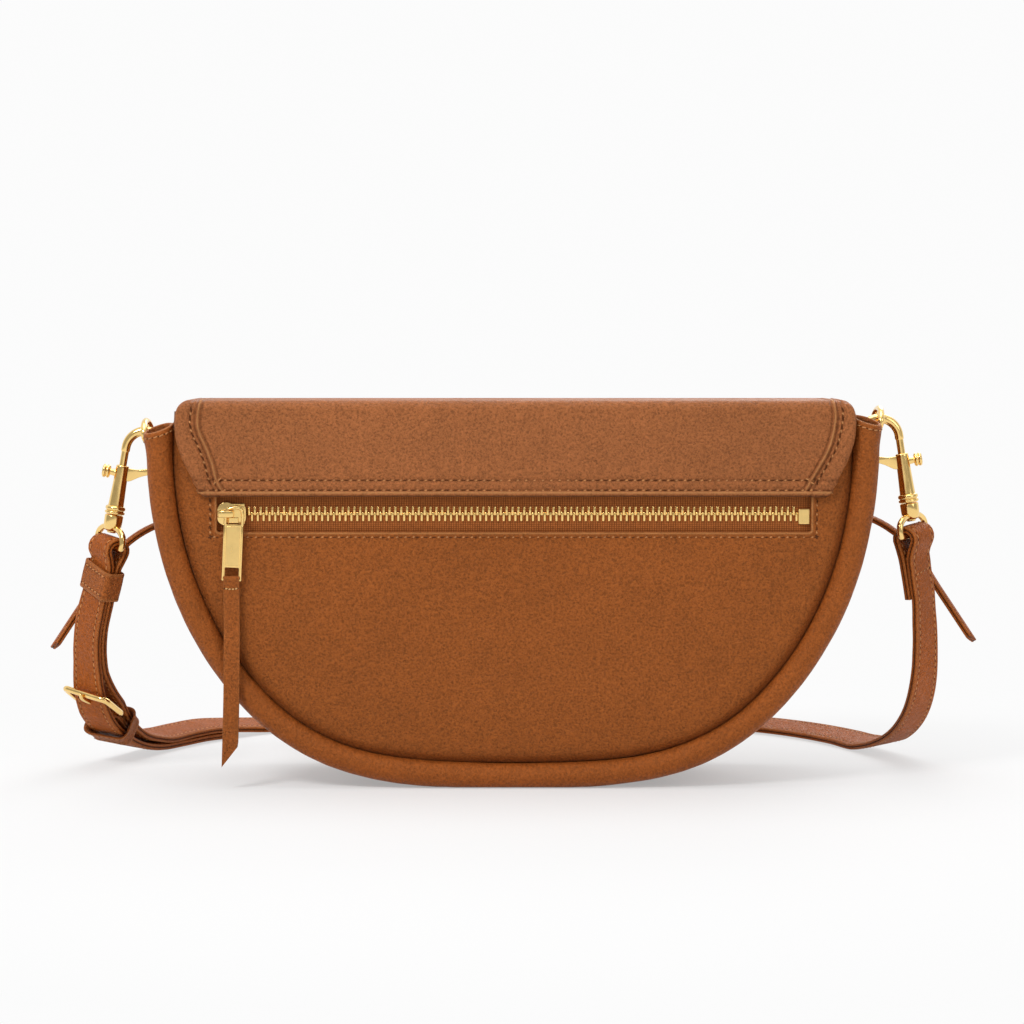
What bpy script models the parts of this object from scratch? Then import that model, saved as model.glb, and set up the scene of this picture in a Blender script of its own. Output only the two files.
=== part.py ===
"""Half moon shoulder bag with a zip pocket on its back, swivel hooks and a buckled strap.

Units are metres, +Z is up. The origin is the middle of the base, on the ground.
The zip side faces -Y, +X is to the right of someone who looks at the zip.
"""
import math

import bmesh
import bpy
from mathutils import Matrix, Vector

MM = 0.001

# Clearances and overruns
GAP = 0.3 * MM
PIN_GAP = 0.15 * MM
OVERRUN = 2.0 * MM
GROUND_GAP = 0.4 * MM
WELD = 0.005 * MM

# Half moon outline, given as the seam where panel meets edge roll
BAG_HEIGHT = 155.0 * MM
SEAM_TOP_DROP = 5.0 * MM
SEAM_HALF_WIDTH = 135.0 * MM
SEAM_TOP = BAG_HEIGHT - SEAM_TOP_DROP
SEAM_BOTTOM = 9.6 * MM
SEAM_SIDE_SHARES = ((1.0, 1.0), (1.0319, 0.6286), (0.8923, 0.3536), (0.7288, 0.194))
SEAM_BASE_SHARES = ((0.7288, 0.194), (0.5433, 0.013), (0.3281, 0.0), (0.0, 0.0))
SEAM_STEPS = 11

# Leather pieces of the body
LEATHER = 2.0 * MM
PANEL_FACE = 33.3 * MM
PANEL_INSET = 0.5 * MM
PANEL_TOP_DROP = 4.4 * MM
PANEL_TOP = BAG_HEIGHT - PANEL_TOP_DROP
GUSSET_INNER = 2.0 * MM
GUSSET_THICK = 1.6 * MM
GUSSET_EDGE = 24.0 * MM
LINING_INSET = 1.0 * MM
LINING_THICK = 0.7 * MM
LINING_TOP_DROP = 8.0 * MM
LINING_TOP = BAG_HEIGHT - LINING_TOP_DROP
LINING_BACK = 27.7 * MM
LINING_FRONT = 30.9 * MM

# Edge rolls with their filling cord
ROLL_RADIUS = 5.2 * MM
ROLL_OFFSET = 4.9 * MM
ROLL_DEPTH = 29.5 * MM
ROLL_WALL = 1.2 * MM
ROLL_FLARE = 1.12
ROLL_DROP_LEFT = 11.6 * MM
ROLL_DROP_RIGHT = 8.4 * MM
ROLL_TOP_LEFT = BAG_HEIGHT - ROLL_DROP_LEFT
ROLL_TOP_RIGHT = BAG_HEIGHT - ROLL_DROP_RIGHT
CORD_RECESS = 5.0 * MM
CORD_SIDES_RESOLUTION = 2
ROLL_SIDES_RESOLUTION = 3

# Flap: yoke on the back, top, half moon on the front
YOKE_PAST_SEAM = 0.3 * MM
YOKE_HALF_WIDTH = SEAM_HALF_WIDTH + YOKE_PAST_SEAM
YOKE_THICK = 2.2 * MM
YOKE_CORNER_INSET = 12.0 * MM
YOKE_STRAIGHT = 20.0 * MM
YOKE_CORNER_RADIUS = 5.6 * MM
FLAP_FRONT_GAP = 2.7 * MM
FLAP_FRONT_DROP = 104.0 * MM
FLAP_FRONT_SHARES = ((1.0, 0.0), (1.0, 0.52), (0.60, 1.0), (0.0, 1.0))
FLAP_FRONT_STEPS = 16

# Magnetic snap under the flap
SNAP_RADIUS = 9.0 * MM
SNAP_HEIGHT_SHARE = 0.47
SNAP_SOCKET_THICK = 1.1 * MM
SNAP_STUD_RADIUS = 7.0 * MM
SNAP_CORE_RADIUS = 2.2 * MM

# Zip: window, tape, teeth, stops; the yoke ends above the slider
ZIP_DROP = 46.0 * MM
ZIP_HEIGHT = BAG_HEIGHT - ZIP_DROP
ZIP_INSET_LEFT = 15.6 * MM
ZIP_INSET_RIGHT = 16.5 * MM
ZIP_LEFT = ZIP_INSET_LEFT - SEAM_HALF_WIDTH
ZIP_RIGHT = SEAM_HALF_WIDTH - ZIP_INSET_RIGHT
WINDOW_BELOW = 6.6 * MM
WINDOW_ABOVE = 9.9 * MM
WINDOW_BOTTOM = ZIP_HEIGHT - WINDOW_BELOW
WINDOW_TOP = ZIP_HEIGHT + WINDOW_ABOVE
YOKE_ABOVE_ZIP = 8.8 * MM
YOKE_DROP = ZIP_DROP - YOKE_ABOVE_ZIP
TAPE_THICK = 0.6 * MM
TAPE_LAP = 3.0 * MM
TEETH_HALF = 2.85 * MM
TEETH_THICK = 1.6 * MM
TOOTH_PITCH = 2.33 * MM
TOOTH_WIDTH = 0.9 * MM
TOOTH_REACH = 0.75 * MM
BEAD_WIDTH = 0.8 * MM
STOP_LENGTH = 5.2 * MM
STOP_HEIGHT = 5.6 * MM
STOP_THICK = 2.2 * MM
POCKET_INSET = 20.0 * MM
POCKET_HALF_WIDTH = SEAM_HALF_WIDTH - POCKET_INSET
POCKET_BELOW = 43.0 * MM
POCKET_BOTTOM = ZIP_HEIGHT - POCKET_BELOW
POCKET_SHEET = 0.5 * MM
POCKET_BACK = 28.0 * MM
POCKET_DEPTH = 2.1 * MM

# Slider, puller, leather tab
SLIDER_LENGTH = 11.4 * MM
SLIDER_HEIGHT = 10.2 * MM
SLIDER_PLATE = 1.1 * MM
SLIDER_BACK_PLATE = 0.6 * MM
SLIDER_WAIST_SHARE = 0.74
SLIDER_LIP = 0.7 * MM
SLIDER_LIP_DEPTH = 0.6 * MM
SLIDER_END_GAP = 0.4 * MM
BRIDGE_SPAN = 6.2 * MM
BRIDGE_START = 0.4 * MM
BRIDGE_FOOT = 1.5 * MM
BRIDGE_HEIGHT = 2.2 * MM
BRIDGE_RISE = 3.4 * MM
PULLER_LIFT = 2.25 * MM
BRIDGE_BAR = 1.2 * MM
PULLER_THICK = 1.0 * MM
PULLER_WIDTH = 7.9 * MM
PULLER_ARM = 1.15 * MM
PULLER_EYE_ABOVE = 2.1 * MM
PULLER_PLATE_TOP_DROP = 4.0 * MM
PULLER_PLATE_LENGTH = 16.6 * MM
PULLER_SLOT = 4.4 * MM
PULLER_BAR = 0.8 * MM
TAB_WIDTH = 5.2 * MM
TAB_FOOT = 6.6 * MM
TAB_THICK = 0.8 * MM
TAB_BEND = 1.1 * MM
TAB_BEND_SHARES = ((0.0, 0.0), (0.20, 0.0), (0.29, 0.35), (0.38, 1.0), (0.7, 1.2), (1.0, 1.0))
TAB_SLANT = 8.0 * MM
TAB_LOOP_GAP = 0.2 * MM

# Rings and their leather tabs
RING_WIRE = 1.3 * MM
RING_HALF_WIDTH = 11.0 * MM
RING_RISE = 7.4 * MM
RING_CORNER = 1.5 * MM
RING_LEAN = 8.0
RING_STEPS = 12
RING_SHIFT = -4.5 * MM
RING_REACH = 9.2 * MM
RING_BELOW_LEFT = 4.5 * MM
RING_BELOW_RIGHT = 2.6 * MM
RING_BAR_LEFT = ROLL_TOP_LEFT - RING_BELOW_LEFT
RING_BAR_RIGHT = ROLL_TOP_RIGHT - RING_BELOW_RIGHT
RING_TAB_WIDTH = 7.0 * MM
RING_TAB_THICK = 1.4 * MM
RING_TAB_LENGTH = 22.0 * MM
RING_TAB_BEND = 11.0 * MM

# Swivel hooks, in the hook's own frame: z up the barrel, x to the bag
HOOK_PLANE = -8.5 * MM
HOOK_LEAN_LEFT = 10.3
HOOK_LEAN_RIGHT = 8.9
BARREL_RADIUS = 3.1 * MM
BARREL_LENGTH = 18.9 * MM
COLLAR_RADIUS = 4.0 * MM
COLLAR_HALF = 1.1 * MM
BORE_RADIUS = 2.25 * MM
BORE_FLOOR = 2.2 * MM
BORE_TOP = 17.5 * MM
SLOT_WIDTH = 2.1 * MM
SLOT_FOOT = 8.6 * MM
SHAFT_RADIUS = 1.8 * MM
SHAFT_TOP = 26.5 * MM
CLAW_RADIUS = 8.0 * MM
CLAW_TIP_RADIUS = 1.35 * MM
CLAW_TIP = 20.8 * MM
CLAW_STEPS = 10
RIVET_RADIUS = 1.1 * MM
RIVET_HEAD = 2.0 * MM
RIVET_HEAD_THICK = 0.7 * MM
GATE_HALF_THICK = 0.75 * MM
GATE_PLUG_RADIUS = 2.0 * MM
GATE_PLUG_TOP = 16.9 * MM
GATE_PLUG_FOOT = 14.4 * MM
GATE_WING_DROP = 1.0 * MM
GATE_TIP_TOP = 20.4 * MM
KNOB_RADIUS = 3.0 * MM
KNOB_OUT = 7.7 * MM
KNOB_THICK = 1.9 * MM
KNOB_STEM = 1.3 * MM
SPRING_RADIUS = 1.55 * MM
SPRING_WIRE = 0.25 * MM
SPRING_TURNS = 7
SPRING_POINTS = 8

# Swivel eyes
CUP_RADIUS = 3.75 * MM
CUP_TOP = -1.4 * MM
CUP_FOOT = -8.0 * MM
EYE_WIRE = 1.3 * MM
EYE_DROP = 14.3 * MM
EYE_HALF_WIDTH = 10.3 * MM
EYE_TURN = 0.45

# Strap
STRAP_WIDTH = 16.0 * MM
STRAP_THICK = 2.8 * MM
STRAP_REACH = 149.5 * MM
STRAP_LOOP_RADIUS = 4.1 * MM
STRAP_LOOP_TOP = 2.85 * MM
STRAP_LOOP_FROM = -30.0
STRAP_LOOP_TO = 210.0
STRAP_LOOP_STEPS = 12
STRAP_BANK = 0.18
STRAP_SAMPLE = 4.0 * MM
LEG_GAP = GAP
PAIR_OFFSET = (STRAP_THICK + LEG_GAP) / 2
BUCKLE_SPREAD_OUT = 5.0 * MM
BUCKLE_SPREAD_IN = 4.5 * MM
CHAPE_SPREAD = 3.4 * MM

# Route of each leg: shares of the eye bar's x, of the strap's reach and of the eye bar's height,
# then the x part of the width direction.
LEFT_ROUTE_SHARES = (
    (1.007, 0.003, 0.932, 0.46), (1.020, 0.013, 0.853, 0.47), (1.032, 0.023, 0.775, 0.48),
    (1.050, 0.050, 0.675, 0.55), (1.062, 0.084, 0.555, 0.60), (1.065, 0.117, 0.455, 0.64),
    (1.061, 0.154, 0.358, 0.68), (1.050, 0.205, 0.262, 0.72), (1.033, 0.270, 0.172, 0.75),
    (0.998, 0.378, 0.085, 0.78), (0.946, 0.512, 0.0, 0.80), (0.8415, 0.706, 0.0, 0.74),
    (0.694, 0.873, 0.0, 0.55), (0.479, 0.953, 0.0, 0.28), (0.246, 0.990, 0.0, 0.10))
RIGHT_ROUTE_SHARES = (
    (1.0025, 0.003, 0.915, 0.46), (1.0106, 0.010, 0.836, 0.48), (1.020, 0.020, 0.756, 0.52),
    (1.032, 0.040, 0.657, 0.57), (1.042, 0.070, 0.537, 0.60), (1.045, 0.110, 0.398, 0.64),
    (1.042, 0.171, 0.279, 0.69), (1.028, 0.2575, 0.169, 0.73), (0.998, 0.371, 0.080, 0.77),
    (0.948, 0.512, 0.0, 0.80), (0.852, 0.706, 0.0, 0.74), (0.703, 0.873, 0.0, 0.55),
    (0.485, 0.953, 0.0, 0.28), (0.249, 0.990, 0.0, 0.10))
KEEPER_STATION = 1.0
FRONT_BAR_STATION = 6.0
HEEL_BAR_STATION = 7.0
FIXED_KEEPER_STATION = 8.0
TAIL_END_STATION = 11.3
RIGHT_FOLD_END_STATION = 2.0

# Buckle, chape, keepers
BUCKLE_WIRE = 1.2 * MM
BUCKLE_CORNER = 2.0 * MM
BUCKLE_BAR_GAP = 0.8 * MM
BUCKLE_SIDE_GAP = 1.5 * MM
PRONG_RADIUS = 0.8 * MM
PRONG_EYE_GAP = 0.2 * MM
PRONG_SLOT_WIDTH = 3.0 * MM
PRONG_SLOT_SHARES = (0.12, 0.62)
CHAPE_THICK = 1.0 * MM
CHAPE_WIDTH = 14.0 * MM
CHAPE_SLOT = 3.4 * MM
CHAPE_FOOT_STATION = 8.3
KEEPER_WALL = 1.2 * MM
KEEPER_GAP = 0.4 * MM
KEEPER_LENGTH = 12.3 * MM
FIXED_KEEPER_LENGTH = 8.0 * MM

# Side tails
TAIL_WIDTH = 6.5 * MM
TAIL_THICK = 2.4 * MM
TAIL_DEPTH = 16.0 * MM
TAIL_SLANT = 4.5 * MM
TAIL_FROM_TOP_LEFT = 49.0 * MM
TAIL_FROM_TOP_RIGHT = 46.0 * MM
TAIL_START_LEFT = BAG_HEIGHT - TAIL_FROM_TOP_LEFT
TAIL_START_RIGHT = BAG_HEIGHT - TAIL_FROM_TOP_RIGHT
TAIL_REACH = 54.0 * MM
TAIL_DROP = 54.0 * MM
TAIL_ROUTE_SHARES = ((0.0, 0.0), (0.10, 0.035), (0.25, 0.085), (0.42, 0.19), (0.58, 0.36),
                     (0.72, 0.58), (0.86, 0.79), (1.0, 1.0))


# Collections and materials

def clear_scene():
    for item in list(bpy.data.objects):
        bpy.data.objects.remove(item)


def new_collection(name):
    made = bpy.data.collections.new(name)
    bpy.context.scene.collection.children.link(made)
    return made


def material(name, colour, roughness, metallic=0.0):
    made = bpy.data.materials.new(name)
    made.use_nodes = True
    shader = made.node_tree.nodes["Principled BSDF"]
    shader.inputs["Base Color"].default_value = (*colour, 1.0)
    shader.inputs["Roughness"].default_value = roughness
    shader.inputs["Metallic"].default_value = metallic
    return made


clear_scene()
PARTS = new_collection("half_moon_bag")
CUTTERS = new_collection("cutters")
TAN = (0.28, 0.083, 0.023)
TAPE_BROWN = (0.17, 0.052, 0.018)
LINING_BROWN = (0.20, 0.11, 0.06)
GOLD = (0.83, 0.56, 0.24)
STEEL = (0.6, 0.6, 0.6)


# Helpers that make one closed mesh each

def add_object(name, mesh, look, collection=None):
    item = bpy.data.objects.new(name, mesh)
    (collection or PARTS).objects.link(item)
    if look is not None:
        mesh.materials.append(material(name, *look))
    return item


LEATHER_LOOK = (TAN, 0.5)
TAPE_LOOK = (TAPE_BROWN, 0.85)
LINING_LOOK = (LINING_BROWN, 0.85)
GOLD_LOOK = (GOLD, 0.22, 1.0)
STEEL_LOOK = (STEEL, 0.35, 1.0)


def weld_curve(name, curve, matrix, look):
    """Turn a curve into a mesh in place."""
    guide = bpy.data.objects.new(name + "_curve", curve)
    CUTTERS.objects.link(guide)
    return settle(name, guide, matrix, look)


def settle(name, guide, matrix, look):
    """Keep the evaluated shape of a guide as one welded mesh that faces outwards."""
    guide.matrix_world = matrix
    bpy.context.view_layer.update()
    shape = guide.evaluated_get(bpy.context.evaluated_depsgraph_get())
    mesh = bpy.data.meshes.new_from_object(shape)
    bpy.data.objects.remove(guide)
    work = bmesh.new()
    work.from_mesh(mesh)
    bmesh.ops.remove_doubles(work, verts=work.verts, dist=WELD)
    bmesh.ops.recalc_face_normals(work, faces=work.faces)
    work.to_mesh(mesh)
    work.free()
    mesh.name = name
    mesh.materials.clear()
    item = add_object(name, mesh, look)
    item.matrix_world = matrix
    return item


def frame(origin, x_axis, y_axis, z_axis):
    """A matrix with these axes and this origin."""
    columns = [Vector(x_axis).normalized(), Vector(y_axis).normalized(), Vector(z_axis).normalized()]
    made = Matrix.Identity(4)
    for index, column in enumerate(columns):
        for row in range(3):
            made[row][index] = column[row]
    made.translation = Vector(origin)
    return made


def upright(depth):
    """Local x and y become X and Z, so that a flat outline stands up at this y."""
    return frame((0, depth, 0), (1, 0, 0), (0, 0, 1), (0, -1, 0))


def plate(name, outlines, thickness, matrix, look):
    """A flat outline, with any further outlines as holes, at this thickness about its plane."""
    curve = bpy.data.curves.new(name, "CURVE")
    curve.dimensions = "2D"
    curve.fill_mode = "BOTH"
    curve.extrude = thickness / 2
    for outline in outlines:
        spline = curve.splines.new("POLY")
        spline.points.add(len(outline) - 1)
        for point, (u, v) in zip(spline.points, outline):
            point.co = (u, v, 0, 1)
        spline.use_cyclic_u = True
    return weld_curve(name, curve, matrix, look)


def tube(name, points, radius, look, resolution=2, closed=False, shares=None, matrix=None):
    """A round wire or tube along points, thicker or thinner where shares say so."""
    curve = bpy.data.curves.new(name, "CURVE")
    curve.dimensions = "3D"
    curve.bevel_depth = radius
    curve.bevel_resolution = resolution
    curve.use_fill_caps = not closed
    spline = curve.splines.new("POLY")
    spline.points.add(len(points) - 1)
    for index, place in enumerate(points):
        spline.points[index].co = (*place, 1)
        spline.points[index].radius = shares[index] if shares else 1.0
    spline.use_cyclic_u = closed
    return weld_curve(name, curve, matrix or Matrix.Identity(4), look)


def turned(name, profile, look, matrix=None, steps=20):
    """A profile of (radius, height) points, from top to bottom, turned about the local z axis."""
    mesh = bpy.data.meshes.new(name)
    count = len(profile)
    edges = [(index, index + 1) for index in range(count - 1)]
    if profile[0][0] > 0:
        edges.append((count - 1, 0))
    mesh.from_pydata([(radius, 0, height) for radius, height in profile], edges, [])
    guide = bpy.data.objects.new(name + "_profile", mesh)
    CUTTERS.objects.link(guide)
    screw = guide.modifiers.new("turn", "SCREW")
    screw.steps = steps
    screw.render_steps = steps
    screw.use_merge_vertices = True
    screw.merge_threshold = WELD
    return settle(name, guide, matrix or Matrix.Identity(4), look)


def block(name, low, high, look, matrix=None):
    """A box between two corners."""
    work = bmesh.new()
    bmesh.ops.create_cube(work, size=1)
    low, high = Vector(low), Vector(high)
    size = high - low
    bmesh.ops.scale(work, vec=size, verts=work.verts)
    bmesh.ops.translate(work, vec=(low + high) / 2, verts=work.verts)
    mesh = bpy.data.meshes.new(name)
    work.to_mesh(mesh)
    work.free()
    item = add_object(name, mesh, look)
    if matrix is not None:
        item.matrix_world = matrix
    return item


def boolean(target, tool, operation="DIFFERENCE"):
    """Cut a tool from a target, or join it on, and keep the tool as a hidden guide."""
    PARTS.objects.unlink(tool)
    CUTTERS.objects.link(tool)
    tool.hide_render = True
    tool.display_type = "WIRE"
    change = target.modifiers.new(tool.name, "BOOLEAN")
    change.operation = operation
    change.solver = "EXACT"
    change.object = tool
    return target


def put_origin(item, place):
    """Move an object's origin to a joint's axis and leave its shape where it is."""
    shift = Vector(place) - item.matrix_world.translation
    item.data.transform(Matrix.Translation(item.matrix_world.to_3x3().inverted() @ -shift))
    item.matrix_world.translation = Vector(place)


# The half moon outline

def bezier(shares, steps):
    points = []
    for step in range(steps + 1):
        t = step / steps
        weights = ((1 - t) ** 3, 3 * t * (1 - t) ** 2, 3 * t * t * (1 - t), t ** 3)
        points.append(tuple(sum(w * s[axis] for w, s in zip(weights, shares)) for axis in (0, 1)))
    return points


def half_seam(offset):
    """Right half of the seam path, top to bottom, moved outwards by offset."""
    shares = bezier(SEAM_SIDE_SHARES, SEAM_STEPS)[:-1] + bezier(SEAM_BASE_SHARES, SEAM_STEPS)
    drop = SEAM_TOP - SEAM_BOTTOM
    path = [(x * SEAM_HALF_WIDTH, SEAM_BOTTOM + z * drop) for x, z in shares]
    moved = []
    for index, (x, z) in enumerate(path):
        before = path[max(index - 1, 0)]
        after = path[min(index + 1, len(path) - 1)]
        along = Vector((after[0] - before[0], after[1] - before[1])).normalized()
        if index == len(path) - 1:
            along = Vector((-1, 0))
        moved.append((x - along.y * offset, z + along.x * offset))
    return moved


def clip_top(path, top):
    """Start a path that runs downwards exactly at this height."""
    if path[0][1] < top:
        return [(path[0][0], top)] + path
    for index, (x, z) in enumerate(path):
        if z < top:
            x_before, z_before = path[index - 1]
            share = (z_before - top) / (z_before - z)
            return [(x_before + share * (x - x_before), top)] + path[index:]
    return path


def seam(offset, top_left, top_right=None):
    """The whole path from the left top, round the base, to the right top."""
    right = clip_top(half_seam(offset), top_right if top_right else top_left)
    left = clip_top(half_seam(offset), top_left)
    return [(-x, z) for x, z in left] + list(reversed(right))[1:]


def seam_x(height, offset):
    """How far out the moved seam path is at this height."""
    return clip_top(half_seam(offset), height)[0][0]


def rounded(corners, radius, steps=4):
    """A polygon of (u, v) corners with each corner rounded."""
    points = []
    count = len(corners)
    for index in range(count):
        here = Vector(corners[index])
        before = (Vector(corners[index - 1]) - here).normalized()
        after = (Vector(corners[(index + 1) % count]) - here).normalized()
        for step in range(steps + 1):
            t = step / steps
            start = here + before * radius
            end = here + after * radius
            point = start * (1 - t) ** 2 + here * 2 * t * (1 - t) + end * t * t
            points.append(tuple(point))
    return points


# Body of the bag

def zip_window():
    return [(ZIP_LEFT, WINDOW_BOTTOM), (ZIP_RIGHT, WINDOW_BOTTOM),
            (ZIP_RIGHT, WINDOW_TOP), (ZIP_LEFT, WINDOW_TOP)]


def make_panels():
    middle = PANEL_FACE - LEATHER / 2
    outline = seam(-PANEL_INSET, PANEL_TOP)
    plate("back_panel", [outline, zip_window()], LEATHER, upright(-middle), LEATHER_LOOK)
    plate("front_panel", [outline], LEATHER, upright(middle), LEATHER_LOOK)


def make_gusset():
    outer = seam(GUSSET_INNER + GUSSET_THICK, ROLL_TOP_LEFT, ROLL_TOP_RIGHT)
    inner = seam(GUSSET_INNER, ROLL_TOP_LEFT, ROLL_TOP_RIGHT)
    plate("gusset_band", [outer + inner[::-1]], 2 * GUSSET_EDGE, upright(0), LEATHER_LOOK)


def make_roll(name, depth):
    """A leather roll along the seam, open at its two flared top ends, with its filling cord."""
    path = seam(ROLL_OFFSET, ROLL_TOP_LEFT, ROLL_TOP_RIGHT)
    points = [(x, depth, z) for x, z in path]
    spread = ROLL_RADIUS * (ROLL_FLARE - 1)
    points[0] = (path[0][0] - spread, depth, path[0][1])
    points[-1] = (path[-1][0] + spread, depth, path[-1][1])
    flare = [1.0] * len(points)
    flare[0] = flare[-1] = ROLL_FLARE
    flare[1] = flare[-2] = (1 + ROLL_FLARE) / 2
    roll = tube(name, points, ROLL_RADIUS, LEATHER_LOOK, ROLL_SIDES_RESOLUTION, shares=flare)
    longer = [(points[0][0], depth, points[0][2] + OVERRUN)] + points
    longer = longer + [(points[-1][0], depth, points[-1][2] + OVERRUN)]
    wide = [flare[0]] + flare + [flare[-1]]
    bore = tube(name + "_bore", longer, ROLL_RADIUS - ROLL_WALL, None, ROLL_SIDES_RESOLUTION, shares=wide)
    boolean(roll, bore)
    reach = SEAM_HALF_WIDTH
    ground = block(name + "_ground", (-reach, depth - reach / 2, -reach), (reach, depth + reach / 2, 0), None)
    boolean(roll, ground)
    cord_path = seam(ROLL_OFFSET, ROLL_TOP_LEFT - CORD_RECESS, ROLL_TOP_RIGHT - CORD_RECESS)
    tube(name + "_cord", [(x, depth, z) for x, z in cord_path],
         ROLL_RADIUS - ROLL_WALL - GAP, LINING_LOOK, CORD_SIDES_RESOLUTION)


def make_lining():
    outer = seam(-LINING_INSET, LINING_TOP)
    inner = seam(-LINING_INSET - LINING_THICK, LINING_TOP + LINING_THICK)
    depth = LINING_FRONT + LINING_BACK
    middle = (LINING_FRONT - LINING_BACK) / 2
    lining = plate("lining", [outer], depth, upright(middle), LINING_LOOK)
    hollow = plate("lining_hollow", [inner], depth - 2 * LINING_THICK, upright(middle), None)
    boolean(lining, hollow)


def make_zip_pocket():
    """A flat pouch behind the zip: its back sheet is tall, its front sheet ends under the zip."""
    back, front = -POCKET_BACK, -POCKET_BACK - POCKET_DEPTH
    front_top = WINDOW_BOTTOM - TAPE_LAP / 2
    back_top = WINDOW_TOP + TAPE_LAP
    profile = [(back, back_top), (back, POCKET_BOTTOM), (front, POCKET_BOTTOM), (front, front_top),
               (front + POCKET_SHEET, front_top), (front + POCKET_SHEET, POCKET_BOTTOM + POCKET_SHEET),
               (back - POCKET_SHEET, POCKET_BOTTOM + POCKET_SHEET), (back - POCKET_SHEET, back_top)]
    sideways = frame((0, 0, 0), (0, 1, 0), (0, 0, 1), (1, 0, 0))
    plate("zip_pocket", [profile], 2 * POCKET_HALF_WIDTH, sideways, LINING_LOOK)


# Flap

def yoke_outline():
    half = YOKE_HALF_WIDTH
    top = BAG_HEIGHT
    bottom = BAG_HEIGHT - YOKE_DROP
    corner = YOKE_CORNER_RADIUS
    arc = []
    for step in range(5):
        angle = math.radians(90 * step / 4)
        arc.append((half - corner + corner * math.sin(angle), top - corner + corner * math.cos(angle)))
    right = arc + [(half, top - YOKE_STRAIGHT), (half - YOKE_CORNER_INSET, bottom)]
    left = [(-x, z) for x, z in reversed(right)]
    return right + left


def make_flap():
    yoke_middle = PANEL_FACE + GAP + YOKE_THICK / 2
    plate("flap_yoke", [yoke_outline()], YOKE_THICK, upright(-yoke_middle), LEATHER_LOOK)
    front_inner = PANEL_FACE + FLAP_FRONT_GAP
    front_outer = front_inner + LEATHER
    corner = YOKE_CORNER_RADIUS
    half = YOKE_HALF_WIDTH
    profile = [(-half, BAG_HEIGHT - LEATHER), (half, BAG_HEIGHT - LEATHER),
               (half - corner / 3, BAG_HEIGHT), (-half + corner / 3, BAG_HEIGHT)]
    length = front_outer + PANEL_FACE
    middle = (front_outer - PANEL_FACE) / 2
    top = plate("flap_top", [profile], length, upright(middle), LEATHER_LOOK)
    put_origin(top, flap_hinge())
    drop = bezier(FLAP_FRONT_SHARES, FLAP_FRONT_STEPS)
    top_edge = BAG_HEIGHT - LEATHER - GAP
    right = [(x * half, top_edge - z * FLAP_FRONT_DROP) for x, z in drop]
    left = [(-x, z) for x, z in reversed(right[:-1])]
    front = plate("flap_front", [right + left], LEATHER, upright(front_inner + LEATHER / 2), LEATHER_LOOK)
    put_origin(front, fold_hinge())


def flap_hinge():
    return (0, -PANEL_FACE - GAP / 2, BAG_HEIGHT)


def fold_hinge():
    return (0, PANEL_FACE + FLAP_FRONT_GAP + LEATHER, BAG_HEIGHT - LEATHER - GAP / 2)


def snap_height():
    return BAG_HEIGHT * SNAP_HEIGHT_SHARE


def make_snap():
    """A magnetic snap: the socket on the front panel takes the stud in the flap."""
    outwards = frame((0, PANEL_FACE + GAP, snap_height()), (1, 0, 0), (0, 0, -1), (0, 1, 0))
    thick = SNAP_SOCKET_THICK
    core = SNAP_CORE_RADIUS
    turned("snap_socket", [(core + GAP, thick), (SNAP_RADIUS - thick / 2, thick), (SNAP_RADIUS, thick / 2),
                           (SNAP_RADIUS, 0), (core + GAP, 0)], GOLD_LOOK, outwards)
    foot = thick + GAP
    head = FLAP_FRONT_GAP - 2 * GAP
    stud = turned("snap_stud", [(0, head), (SNAP_STUD_RADIUS, head), (SNAP_STUD_RADIUS, foot),
                                (core, foot), (core, GAP), (0, GAP)], GOLD_LOOK, outwards)
    return stud


# Zip

def comb_middle():
    """The y of the zip's middle plane: the tape lies behind the panel."""
    return -(PANEL_FACE - LEATHER - GAP - TAPE_THICK / 2)


def slider_left():
    return ZIP_LEFT + SLIDER_END_GAP


def teeth_start():
    return slider_left() + SLIDER_LENGTH


def teeth_end():
    return ZIP_RIGHT - STOP_LENGTH - 2 * GAP


def tape_inner():
    return TEETH_HALF + GAP + BEAD_WIDTH / 2


def make_tapes():
    inner = tape_inner()
    left = ZIP_LEFT - TAPE_LAP
    right = ZIP_RIGHT + TAPE_LAP
    rows = (("zip_tape_upper", ZIP_HEIGHT + inner, WINDOW_TOP + TAPE_LAP),
            ("zip_tape_lower", WINDOW_BOTTOM - TAPE_LAP, ZIP_HEIGHT - inner))
    half = TAPE_THICK / 2
    for name, foot, top in rows:
        block(name, (left, comb_middle() - half, foot), (right, comb_middle() + half, top), TAPE_LOOK)


def make_teeth(name, side, shift):
    """One row of teeth on the corded edge of its tape, drawn as a comb outline."""
    start, end = teeth_start() + TOOTH_WIDTH, teeth_end()
    count = int((end - start - TOOTH_PITCH) / TOOTH_PITCH)
    outer = TEETH_HALF + BEAD_WIDTH / 2
    root = TEETH_HALF - BEAD_WIDTH / 2
    tip = -TOOTH_REACH
    outline = [(slider_left(), outer), (slider_left(), root)]
    for index in range(count):
        left = start + shift + index * TOOTH_PITCH
        neck = TOOTH_WIDTH / 5
        outline += [(left, root), (left, tip + TOOTH_WIDTH / 2), (left + neck, tip),
                    (left + TOOTH_WIDTH - neck, tip), (left + TOOTH_WIDTH, tip + TOOTH_WIDTH / 2),
                    (left + TOOTH_WIDTH, root)]
    outline += [(end, root), (end, outer)]
    row = [(x, ZIP_HEIGHT + side * v) for x, v in outline]
    plate(name, [row], TEETH_THICK, upright(comb_middle()), GOLD_LOOK)


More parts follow.
